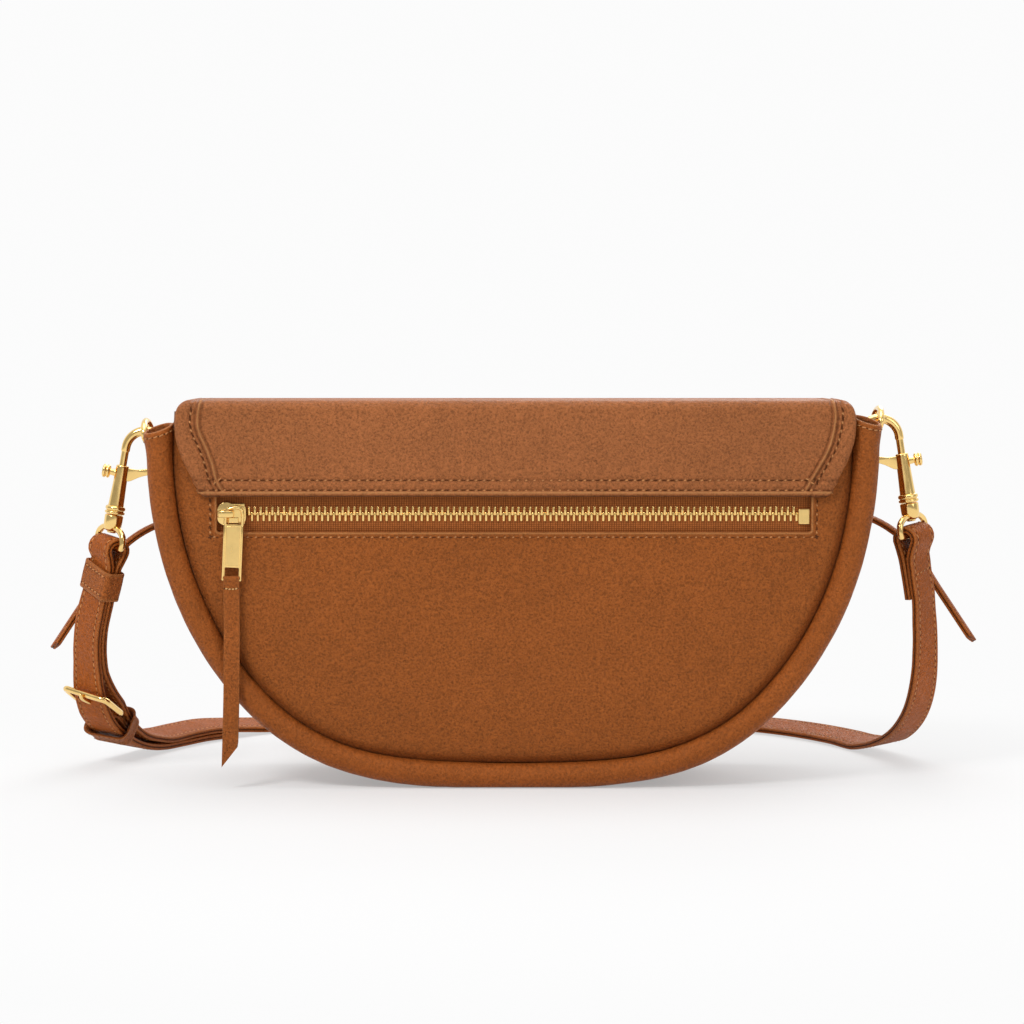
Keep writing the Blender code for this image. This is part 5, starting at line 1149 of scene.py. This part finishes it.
def pull_tab():
    """The leather strip folded round the puller's foot, sewn flat, with a slanted tip."""
    made = Build()
    bar = puller_frame() @ (Vector((-112.15, -35.15, 83.4)) * MM)
    width, layer, foot, top = 6.3 * MM, 0.82 * MM, 8.6 * MM, bar.z - 3.0 * MM
    across = Vector((1, 0, 0))

    def down(side, share):
        bend = read_table(((0, 0), (0.20, 0.0), (0.29, 0.35), (0.38, 1.0), (0.7, 1.2), (1.0, 1.0)), share) * 1.1 * MM
        x = bar.x - 1.1 * MM * share + 0.5 * MM * math.sin(math.pi * share)
        return Vector((x, bar.y - bend + side * layer * 0.53, top - share * (top - foot)))

    shares = [1.0] + [0.86 - 0.86 * k / 22 for k in range(23)]
    turns = [math.radians(-40 + 260 * step / 12) for step in range(1, 12)]
    path = [down(1, share) for share in shares]
    path += [bar + Vector((0, math.cos(a), math.sin(a))) * 0.95 * 1.15 * MM for a in turns]
    path += [down(-1, share) for share in shares[::-1]]
    profile = strip_profile(width, layer, 1, sewn=0, crown=0.05 * MM)
    rows = []
    for i, place in enumerate(path):
        outward = (path[min(i + 1, len(path) - 1)] - path[max(i - 1, 0)]).normalized().cross(across)
        cut = 8.0 * MM if i in (0, len(path) - 1) else 0.0
        rows.append([place + across * u + outward * v + UP * (u / width + 0.5) * cut for u, v, _ in profile])
    made.grid(rows, [[t for _, _, t in profile]] * len(rows), wrap=True, caps=True)
    for z in (80.0, 83.9):
        centre = down(-1, max((top - z * MM) / (top - foot), 0.0))
        made.stitches([Vector((centre.x + u * MM, centre.y - layer / 2, (z - (0.35 if abs(u) < 1 else 0)) * MM))
                       for u in (-2.6, -0.9, 0.9, 2.6)], BACKWARDS, 1.5, 1.15, thread_kind=3)
    # A thin dark line near the tip, drawn as threads in the hole-shade material: painted shade of a crease.
    tip = down(-1, 0.97)
    low = Vector((tip.x, tip.y - layer / 2, 15.2 * MM))
    made.stitches([low + Vector((-2.3, 0, -1.3)) * MM, low + Vector((2.3, 0, 4.0)) * MM], BACKWARDS, 1.5, 1.1, 0.16,
                  holes=False, thread_kind=2)
    made.done("pull_strip", [TRIM_LEATHER, THREAD, HOLE_SHADE, GOLD_THREAD], "pull_tab", ("pull_tab",), "leather", sharp=60,
              shift=PULL_SHIFT)


# Rings and swivel hooks

RING_WIRE, CLAW_WIRE, CLAW_RADIUS, CLAW_SHOULDER = 1.3, 1.8, 8.0, 26.5
GUSSET_EDGE, GAP = 3.6 * MM, 0.3 * MM


def ring_bar(side):
    height = 138.9 * MM if side < 0 else 144.0 * MM
    return Vector((side * (seam_x(height, GUSSET_EDGE) + 9.2 * MM), -4.5 * MM, height))


def hook_frame(side):
    lean = math.radians(10.3 if side < 0 else 8.9)
    up = Vector((-side * math.sin(lean), 0, math.cos(lean)))
    inward = Vector((-side * math.cos(lean), 0, -math.sin(lean)))
    reach = CLAW_SHOULDER + CLAW_RADIUS - CLAW_WIRE - RING_WIRE - 0.15
    place = ring_bar(side) - up * (reach * MM) - inward * CLAW_RADIUS * MM
    return axes((place.x, -8.5 * MM, place.z), inward, up.cross(inward), up)


def ring(label, side):
    made = Build()
    bar = ring_bar(side)
    lean = math.radians(8)
    up = Vector((side * math.sin(lean), 0, math.cos(lean)))
    points = [bar + Vector((0, y * MM, 0)) for y in (-9.4, -4.0, 0.0, 4.0, 9.4)]
    for a in (math.pi * step / 28 for step in range(29)):
        points.append(bar + Vector((0, 11.0 * MM * math.cos(a), 0)) + up * (1.5 + 5.9 * math.sin(a)) * MM)
    made.tube(points, RING_WIRE * MM, 20, closed=True)
    made.plated("ring_wire_" + label, "ring_" + label, "ring_" + label, sharp=38)


def ring_loop(label, side):
    made = Build()
    bar = ring_bar(side)
    thick = 1.4 * MM
    radius = RING_WIRE * MM + 0.2 * MM + thick / 2
    inner = GUSSET_EDGE + GAP + thick / 2
    outer = inner + thick + GAP

    def on_gusset(drop, offset):
        height = bar.z - drop * MM
        return Vector((side * seam_x(height, offset), 0, height))

    path = [on_gusset(drop, outer) for drop in (22, 18, 15.4, 11)]
    for a in (math.radians(-60 + 265 * step / 12) for step in range(13)):
        path.append(Vector((bar.x + side * math.cos(a) * radius, 0, bar.z + math.sin(a) * radius)))
    path += [on_gusset(drop, inner) for drop in (8.2, 11, 16, 22)]
    strip(made, [(p, -BACKWARDS) for p in smooth_path(path, 3)], strip_profile(7.0 * MM, thick * 0.94, 1, sewn=0))
    for y in (-2.2, 2.2):
        made.stitches([on_gusset(drop, outer + thick * 0.5) + Vector((0, y * MM, 0)) for drop in (12, 16, 21)],
                      Vector((side, 0, -0.1)).normalized(), 2.4, 1.7, 0.22)
    made.sewn("ring_loop_" + label, TRIM_LEATHER, "bag", "ring_tab_" + label, sharp=60)


def hook(label, side):
    place = hook_frame(side)
    made = Build()
    made.turned([(0, 19.0), (2.1, 19.0), (2.4, 18.85), (2.58, 18.5), (2.62, 18.0), (2.85, 10.0), (3.12, 3.0),
                 (3.2, 2.3), (3.75, 2.0), (4.0, 1.65), (4.08, 1.2), (3.98, 0.75), (3.6, 0.5), (3.55, 0.2),
                 (3.98, -0.05), (4.1, -0.45), (3.95, -0.9), (3.5, -1.1), (1.2, -1.1), (1.2, 0.5), (0, 0.5)], place, 44)
    made.tube([place @ Vector((0, 0, z * MM)) for z in (18.6, 22.0, 25.0)], 1.5 * MM, 20, ends=False)
    wire = [(0, 24.7, 1.5), (0, 24.9, 1.72), (0, 25.3, CLAW_WIRE), (0, CLAW_SHOULDER, CLAW_WIRE)]
    for a in (math.pi * (1 - step / 24) for step in range(1, 25)):
        wire.append((CLAW_RADIUS * (1 + math.cos(a)), CLAW_SHOULDER + CLAW_RADIUS * math.sin(a),
                     CLAW_WIRE + 0.12 * math.sin(a)))
    wire += [(2 * CLAW_RADIUS, z, r) for z, r in ((25.0, 1.7), (23.4, 1.55), (22.0, 1.42), (20.8, 1.35))]
    made.tube([place @ (Vector((x, 0, z)) * MM) for x, z, _ in wire], [r * MM for _, _, r in wire], 22)
    made.plated("hook_claw_" + label, "hook_" + label, "hook_" + label)


def gate(label, side):
    """The thumb knob, its stem, the plug in the barrel and the flared wing that shuts the claw."""
    place = hook_frame(side)
    made = Build()
    stem = ((-5.8, 1.3), (-4.6, 1.25), (-2.5, 1.55), (0, 1.7))
    made.tube([place @ (Vector((x, 0, 15.6)) * MM) for x, _ in stem], [r * MM for _, r in stem], 16, ends=False)
    made.turned([(0, 0.15), (1.0, 0.2), (1.5, 0.35), (2.2, 0.35), (2.6, 0.1), (2.75, -0.3), (2.7, -0.8), (2.35, -1.05),
                 (2.3, -1.25), (2.6, -1.45), (2.75, -1.8), (2.65, -2.3), (2.2, -2.65), (1.3, -2.8), (0, -2.8)],
                place @ axes((-7.3 * MM, 0, 15.65 * MM), UP, (0, 1, 0), (-1, 0, 0)), 32)
    made.turned([(0, 16.9), (2.0, 16.9), (2.0, 14.4), (0, 14.4)], place, 20)
    wing = [(1.0, 13.4), (3.0, 12.9), (4.6, 13.5), (7.5, 15.4), (11.0, 16.9), (14.6, 17.6), (17.0, 18.1), (17.5, 19.6),
            (16.4, 20.3), (13.4, 20.2), (9.0, 19.1), (6.0, 18.3), (3.4, 18.2), (1.0, 18.0)]
    made.plate([smooth_path(wing, 3, True)], 1.7, place @ upright(0), 0.45, resolution=3)
    made.plated("gate_slide_" + label, "gate_" + label, "hook_gate_" + label)


def eye_direction(side):
    flat = Vector((-side * 0.62, -math.sqrt(1 - 0.62 ** 2), 0))
    up = hook_frame(side).to_3x3() @ UP
    return (flat - up * flat.dot(up)).normalized()


def eye_bar(side):
    return hook_frame(side) @ Vector((0, 0, -14.3 * MM))


def eye(label, side):
    place = hook_frame(side)
    made = Build()
    made.turned([(1.25, -1.4), (3.3, -1.4), (3.65, -1.6), (3.78, -2.0), (3.72, -4.0), (3.62, -6.0), (3.2, -7.4),
                 (2.5, -8.0), (1.25, -8.0)], place, 40)
    across = place.to_3x3().inverted() @ eye_direction(side)
    half = [(2.3, -6.6), (5.0, -6.9), (7.6, -7.8), (9.6, -9.3), (10.3, -11.4), (10.2, -13.2), (9.0, -14.3),
            (6.0, -14.35)]
    wire = smooth_path([across * (u * MM) + UP * (v * MM) for u, v in half + [(-u, v) for u, v in half[::-1]]], 4)
    made.tube([place @ p for p in wire], 1.3 * MM, 18)
    made.plated("eye_loop_" + label, "bag", "hook_eye_" + label)


# Strap

STRAP_WIDTH, STRAP_THICK, GROUND_GAP, STRAP_BANK = 16.0 * MM, 2.8 * MM, 0.4 * MM, 0.18
PAIR = (STRAP_THICK + GAP) / 2
STRAP_REACH = 149.5 * MM
LEFT_ROUTE = (
    (1.007, 0.003, 0.932, 0.64), (1.020, 0.013, 0.853, 0.67), (1.032, 0.023, 0.775, 0.68),
    (1.050, 0.050, 0.675, 0.68), (1.062, 0.084, 0.555, 0.68), (1.065, 0.117, 0.455, 0.69),
    (1.061, 0.154, 0.358, 0.71), (1.050, 0.205, 0.262, 0.73), (1.033, 0.270, 0.172, 0.75),
    (0.998, 0.378, 0.085, 0.78), (0.946, 0.512, 0.0, 0.80), (0.8415, 0.706, 0.0, 0.74),
    (0.694, 0.873, 0.0, 0.55), (0.479, 0.953, 0.0, 0.28), (0.246, 0.990, 0.0, 0.10))
RIGHT_ROUTE = (
    (1.0025, 0.003, 0.915, 0.62), (1.0106, 0.010, 0.836, 0.61), (1.020, 0.020, 0.756, 0.61),
    (1.032, 0.040, 0.657, 0.62), (1.042, 0.070, 0.537, 0.64), (1.045, 0.110, 0.398, 0.67),
    (1.042, 0.171, 0.279, 0.69), (1.028, 0.2575, 0.169, 0.73), (0.998, 0.371, 0.080, 0.77),
    (0.948, 0.512, 0.0, 0.80), (0.852, 0.706, 0.0, 0.74), (0.703, 0.873, 0.0, 0.55),
    (0.485, 0.953, 0.0, 0.28), (0.249, 0.990, 0.0, 0.10))
TAIL_END = 11.3
LEFT_TILT = (0, 0, 0, 0, 0.04, 0.10, 0.20, 0.22, 0.12)
LOOP_RADIUS = 4.1 * MM
OUTER = [PAIR * 1.15, PAIR, PAIR, PAIR, PAIR, PAIR * 1.1, (PAIR + 5 * MM) / 2 + 0.3 * MM, 5 * MM, 3.4 * MM, PAIR * 1.4,
         PAIR, PAIR, PAIR]
INNER = [-PAIR * 1.15, -PAIR, -PAIR, -PAIR, -PAIR, -PAIR * 1.1, -(PAIR + 4.5 * MM) / 2, -4.5 * MM, -3.4 * MM,
         -PAIR * 1.4, -PAIR, -PAIR, 0, 0, 0, 0]
RIGHT_OUTER = [PAIR * 1.15, PAIR, PAIR, PAIR * 0.3] + [0] * 11
RIGHT_INNER = [-PAIR * 1.15, -PAIR, -PAIR, -PAIR] + [0] * 11


def route_of(side):
    return LEFT_ROUTE if side < 0 else RIGHT_ROUTE


def blend_value(values, station):
    low = min(int(station), len(values) - 2)
    return values[low] + (values[low + 1] - values[low]) * (station - low)


def rest_height(doubled):
    return GROUND_GAP + STRAP_BANK * STRAP_WIDTH / 2 + PAIR * (2 if doubled else 1)


def leg_points(side):
    """Centre and width direction at every stop of a leg's route."""
    bar = eye_bar(side)
    found = []
    for index, (x, y, z, across) in enumerate(route_of(side)):
        rest = rest_height(side < 0 and index < TAIL_END)
        bank = STRAP_BANK if z == 0 else 0
        if side < 0 and index < len(LEFT_TILT):
            bank = -LEFT_TILT[index]
        found.append((Vector((bar.x * x, bar.y + y * STRAP_REACH, max(bar.z * z, rest))),
                      Vector((-side * across, -math.sqrt(1 - across ** 2), -bank))))
    return found + [(Vector((0, bar.y + STRAP_REACH, rest_height(False))), Vector((0, -1, -STRAP_BANK)))]


def between(before, start, end, after, share):
    """From start to end on a curve that also heeds their neighbours."""
    middle = (end - start).length
    first, last = (start - before).length or middle, (after - end).length or middle
    slope = (end - start) / middle
    leave = slope if before == start else ((start - before) / first * middle + slope * first) / (first + middle)
    arrive = slope if after == end else ((after - end) / last * middle + slope * last) / (last + middle)
    return cubic(start, leave * middle, end, arrive * middle, share)


def leg_frame(side, station):
    points = leg_points(side)
    low = min(int(station), len(points) - 2)
    share = station - low
    near = [points[k][0] for k in (max(low - 1, 0), low, low + 1, min(low + 2, len(points) - 1))]
    centre = between(*near, share)
    centre.z = max(centre.z, rest_height(side < 0 and station < TAIL_END))
    along = (between(*near, share + 0.02) - between(*near, share - 0.02)).normalized()
    across = points[low][1].lerp(points[low + 1][1], share)
    across = (across - along * across.dot(along)).normalized()
    return centre, along, across, along.cross(across) * -side


def leg_stations(side, first, last, offsets):
    stations = []
    count = max(1, round((last - first) / 0.5))
    for station in (first + (last - first) * index / count for index in range(count + 1)):
        centre, _, across, outward = leg_frame(side, station)
        stations.append((centre + outward * blend_value(offsets, station), across))
    return stations


def loop_stations(side):
    across = eye_direction(side)
    inward = (UP.cross(across) * -side).normalized()
    rise = across.cross(inward) * -side
    middle = eye_bar(side) + rise * (2.85 * MM - LOOP_RADIUS)
    angles = [math.radians(-30 + 240 * step / 12) for step in range(13)]
    return [(middle + (inward * math.cos(a) + rise * math.sin(a)) * LOOP_RADIUS, across) for a in angles]


def smooth_stations(stations, sample=2.6 * MM):
    made = []
    last = len(stations) - 1
    for index, (start, end) in enumerate(zip(stations, stations[1:])):
        before, after = stations[max(index - 1, 0)][0], stations[min(index + 2, last)][0]
        pieces = max(1, round((end[0] - start[0]).length / sample))
        for share in (piece / pieces for piece in range(pieces)):
            made.append((between(before, start[0], end[0], after, share), start[1].lerp(end[1], share)))
    return made + [stations[-1]]


def strap():
    made = Build()
    stations = leg_stations(1, 0, 2.0, RIGHT_INNER)[::-1]
    stations += loop_stations(1)
    stations += leg_stations(1, 0, len(RIGHT_ROUTE), RIGHT_OUTER)
    stations += leg_stations(-1, 0, len(LEFT_ROUTE), INNER)[::-1][1:]
    stations += loop_stations(-1)
    stations += leg_stations(-1, 0, TAIL_END, OUTER)
    fine = smooth_stations(stations)
    thick = STRAP_THICK * 0.97
    strip(made, fine, strip_profile(STRAP_WIDTH, thick))
    data = frames_of(fine)
    for face in (1, -1):
        for edge in (-1, 1):
            made.stitches([p + a * edge * (STRAP_WIDTH / 2 - 2.2 * MM) + o * face * (thick / 2 - 0.08 * MM)
                           for p, _, a, o in data], [o * face for _, _, _, o in data], 3.0, 2.0, 0.26)
    centre, _, across, outward = leg_frame(1, 0.85)
    centre += outward * (PAIR + STRAP_THICK / 2)
    made.stitches([centre + across * u * MM for u in (-5.8, 0, 5.8)], outward)
    made.sewn("strap_run", STRAP_LEATHER, "bag", "strap", sharp=60)


def outer_leg(station):
    centre, along, across, outward = leg_frame(-1, station)
    return centre + outward * blend_value(OUTER, station), along, across, outward


BUCKLE_WIRE, BUCKLE_INNER, CHAPE_THICK = 1.2 * MM, 1.4 * MM, 1.0 * MM
FRONT_STOP, HEEL_STOP = 5.8, 7.0


def buckle_frame():
    """The heel bar's middle, the way along it, and the way from it to the front bar."""
    clear = STRAP_THICK / 2 + 0.8 * MM
    place, _, across_front, outward = outer_leg(FRONT_STOP)
    front = place + outward * (clear + BUCKLE_WIRE)
    place, _, across_heel, outward = outer_leg(HEEL_STOP)
    heel = place - outward * (clear + BUCKLE_INNER + CHAPE_THICK)
    across = (across_front + across_heel).normalized()
    rise = front - heel
    return heel, across, rise - across * rise.dot(across)


def buckle():
    heel, across, rise = buckle_frame()
    normal = across.cross(rise).normalized()
    if normal.dot(outer_leg(6.0)[3]) < 0:
        normal = -normal
    half = STRAP_WIDTH / 2 + 1.5 * MM + BUCKLE_WIRE
    length = rise.length
    up = rise.normalized()
    made = Build()
    made.tube([heel + across * u + up * v + normal * (0.45 * MM * (v / length) * (1 - (u / half) ** 2))
               for u, v in rounded(box(-half, half, 0, length), 3.2 * MM, 7)], BUCKLE_WIRE * 1.06, 20, closed=True)
    made.plated("buckle_wire", "bag", "buckle_frame", sharp=38)
    pin = Build()
    pin.tube([heel + (up * math.cos(a) + normal * math.sin(a)) * (BUCKLE_INNER + 0.75 * MM)
              for a in (2 * math.pi * step / 20 for step in range(20))], 0.7 * MM, 14, closed=True)
    lift = BUCKLE_WIRE + 0.15 * MM + 0.8 * MM
    route = [heel + normal * (BUCKLE_INNER + 0.6 * MM) * 0.5, heel + normal * lift * 0.25 + up * length * 0.3,
             heel + normal * lift * 0.75 + up * length * 0.68, heel + normal * lift * 1.05 + up * length,
             heel + normal * lift * 0.7 + up * (length + 2 * BUCKLE_WIRE)]
    smooth = smooth_path(route, 6)
    pin.tube(smooth, [(0.9 - 0.25 * (k / len(smooth)) ** 3) * MM for k in range(len(smooth))], 16)
    pin.plated("prong_pin", "prong", "buckle_prong", sharp=38)


def chape():
    heel, across, _ = buckle_frame()
    _, along, _, outward = outer_leg(HEEL_STOP)
    thick = CHAPE_THICK
    radius = BUCKLE_INNER + thick / 2
    near = STRAP_THICK / 2 + 0.6 * MM + thick / 2
    inner, outer = [], []
    for station in (7.7, 8.0, 8.3):
        centre, _, width, out = leg_frame(-1, station)
        leg = centre + out * blend_value(INNER, station)
        inner.append((leg + out * near, width))
        outer.append((leg + out * (near + thick + GAP), width))
    angles = [math.radians(-55 + 290 * step / 12) for step in range(13)]
    loop = [(heel - (outward * math.cos(a) + along * math.sin(a)) * radius, across) for a in angles]
    made = Build()
    strip(made, smooth_stations(inner[::-1] + loop + outer, 1.2 * MM),
          strip_profile(14.0 * MM, thick * 0.95, 1, sewn=1.8 * MM))
    made.done("chape_fold", [TRIM_LEATHER], "bag", ("chape",), "leather", sharp=60)


def keeper(name, node, body, station, reach, length, flare, corner):
    """A loop of leather round the legs, with soft edges and a sewn line along each rim."""
    centre, _, across, outward = leg_frame(-1, station)
    gap, wall = 0.4 * MM, 1.15 * MM
    half, high = STRAP_WIDTH / 2 + gap + wall / 2, reach + gap + wall / 2
    path = rounded(box(-half, half, -high, high), corner, 8)
    axis = across.cross(outward).normalized()
    if axis.z < 0:
        axis = -axis

    def spread(s):
        return 1 + flare * max(0.0, s + 0.1) ** 1.5

    # Section rows of (s, t, tone): lighter on the rounded rims (partly tan edge paint, partly painted highlight),
    # painted shade on the inner face against the strap.
    section = ((-0.5, 0.0, -0.1), (-0.485, 0.38, 0.35), (-0.44, 0.5, 0.25), (-0.32, 0.46, -0.1), (-0.2, 0.52, 0.0),
               (0.0, 0.54, 0.0), (0.2, 0.52, 0.0), (0.32, 0.46, -0.1), (0.44, 0.5, 0.25), (0.485, 0.38, 0.35),
               (0.5, 0.0, -0.1), (0.485, -0.4, -0.2), (0.4, -0.5, -0.3), (-0.4, -0.5, -0.3), (-0.485, -0.4, -0.2))
    made = Build()
    rows = []
    for i, place in enumerate(path):
        tangent = (Vector(path[(i + 1) % len(path)]) - Vector(path[i - 1])).normalized()
        out = Vector((tangent.y, -tangent.x))
        row = []
        for s, t, _ in section:
            p = Vector(place) * spread(s) + out * t * wall
            row.append(centre + across * p.x + outward * p.y + axis * s * length)
        rows.append(row)
    made.grid(rows, [[tone for _, _, tone in section]] * len(rows), wrap=True, close=True)
    width = half - 1.6 * MM
    for s in (-0.32, 0.32):
        edge = centre + outward * (high * spread(s) + wall * 0.46) + axis * s * length
        made.stitches([edge + across * width * (k / 2 - 1) for k in range(5)], outward, 2.6, 1.75, 0.25)
    made.sewn(name, TRIM_LEATHER, body, node, sharp=60)


def tail(label, side):
    height = (106.0 if side < 0 else 109.0) * MM
    start, reach = seam_x(height, GUSSET_EDGE) + GAP, 54 * MM
    across = Vector((side * 0.30, 0.95, 0)).normalized()
    shares = ((0.0, 0.0), (0.10, 0.035), (0.25, 0.085), (0.42, 0.19), (0.58, 0.36), (0.72, 0.58), (0.86, 0.79),
              (1.0, 1.0))
    fine = smooth_stations([(Vector((side * (start + x * reach), 16 * MM, height - z * reach)), across)
                            for x, z in shares], 2.5 * MM)
    made = Build()
    strip(made, fine, strip_profile(6.5 * MM, 2.3 * MM, 2, groove=0.4 * MM, sewn=1.5 * MM), slant=4.5 * MM)
    p, _, across, outward = frames_of(fine)[-4]
    for face in (1, -1):
        made.stitches([p + across * u * MM + outward * face * 1.12 * MM for u in (-2.2, 2.2)], outward * face,
                      1.5, 1.1, 0.2)
    made.sewn("tail_" + label, STRAP_LEATHER, "bag", "side_tail_" + label, sharp=60)


# Room

def floor():
    """A floor that glows white in the distance and takes shadows near the bag."""
    mesh = bpy.data.meshes.new("floor")
    mesh.from_pydata([(x, y, 0) for x, y in box(-14.0, 14.0, -14.0, 14.0)], [], [(0, 1, 2, 3)])
    item = link(bpy.data.objects.new("floor", mesh))
    look = Nodes(bpy.data.materials.new("floor_white"))
    look.nodes.clear()
    reach = look.add("VectorMath", {0: look.add("TexCoord", out="Object")}, "Value", operation="LENGTH")
    share = look.times(look.seen("Camera", "Glossy", "Transmission"), look.span(reach, 0.06, 0.36, 0.35, 1.0))
    plain = look.add("BsdfDiffuse", {"Color": (0.82, 0.82, 0.82, 1)})
    glow = look.add("Emission", {"Color": (1, 1, 1, 1), "Strength": 0.97})
    look.finish("Material", look.mixed(share, plain, glow))
    mesh.materials.append(look.owner)


def studio():
    """White walls where the camera and the metal look, dim for the rest of the light, and four lamps."""
    world = bpy.data.worlds.new("studio")
    bpy.context.scene.world = world
    room = Nodes(world)
    room.nodes.clear()
    way = room.add("TexCoord", out="Generated")
    wall = room.span(room.add("SeparateXYZ", {"Vector": way}, "Y"), -0.05, 0.25, 0.43, 1.0)
    ceiling = room.span(room.add("SeparateXYZ", {"Vector": way}, "Z"), 0.62, 0.86, 0.0, 1.0)
    level = room.math("MAXIMUM", room.math("MAXIMUM", wall, ceiling), room.seen("Camera"))
    dim = room.add("Background", {"Color": (1, 1, 1, 1), "Strength": 0.46})
    bright = room.add("Background", {"Color": (1, 1, 1, 1), "Strength": room.times(level, 0.97)})
    room.finish("World", room.mixed(room.seen("Camera", "Glossy", "Transmission"), dim, bright))
    for name, place, size, power in (("key", (-0.75, -0.95, 1.25), 0.5, 13.0), ("fill", (0.95, -0.95, 0.75), 0.8, 3.0),
                                     ("top", (0.0, 0.15, 1.5), 1.2, 9.0), ("rear", (0.4, 1.2, 0.9), 0.8, 5.0)):
        data = bpy.data.lights.new(name, "AREA")
        data.shape, data.size, data.energy = "DISK", size, power
        lamp = link(bpy.data.objects.new(name, data))
        lamp.location = place
        lamp.rotation_euler = (Vector((0, 0, 0.07)) - Vector(place)).to_track_quat("-Z", "Y").to_euler()
    bpy.context.scene.view_settings.view_transform = "Standard"


def repaint(look, *names):
    """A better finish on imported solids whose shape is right."""
    for name in names:
        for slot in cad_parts[name].material_slots:
            slot.link = "OBJECT"
            slot.material = look


def main():
    floor()
    studio()
    body_shell()
    window_welt()
    roll("roll_back", -ROLL_DEPTH, "back_roll")
    roll("roll_front", ROLL_DEPTH, "front_roll")
    roll_core("roll_core_back", -ROLL_DEPTH, "back_roll_cord")
    roll_core("roll_core_front", ROLL_DEPTH, "front_roll_cord")
    lining()
    zip_pouch()
    flap_back()
    yoke_stitches()
    flap_front()
    flap_front_stitches()
    zip_tape("tape_upper", "zip_tape_upper", 109.15, 121.9)
    zip_tape("tape_lower", "zip_tape_lower", 99.4, 108.85)
    zip_teeth("teeth_upper", "zip_teeth_upper", 1, 0.0)
    zip_teeth("teeth_lower", "zip_teeth_lower", -1, TOOTH_PITCH / 2)
    zip_stop()
    slider()
    puller()
    pull_tab()
    for label, side in SIDES:
        for make in (ring, ring_loop, hook, gate, eye, tail):
            make(label, side)
    strap()
    buckle()
    chape()
    keeper("keeper_slide", "sliding_keeper", "keeper", 1.0, PAIR + STRAP_THICK / 2, 12.3 * MM, flare=0.0,
           corner=1.8 * MM)
    keeper("keeper_fixed", "fixed_keeper", "bag", 8.0, 4.0 * MM + STRAP_THICK / 2, 8.0 * MM, flare=0.34,
           corner=3.4 * MM)
    repaint(GOLD, "snap_socket", "snap_stud", "slider_back_plate", "hook_rivet_left", "hook_rivet_right")
    repaint(STEEL, "hook_spring_left", "hook_spring_right")


main()
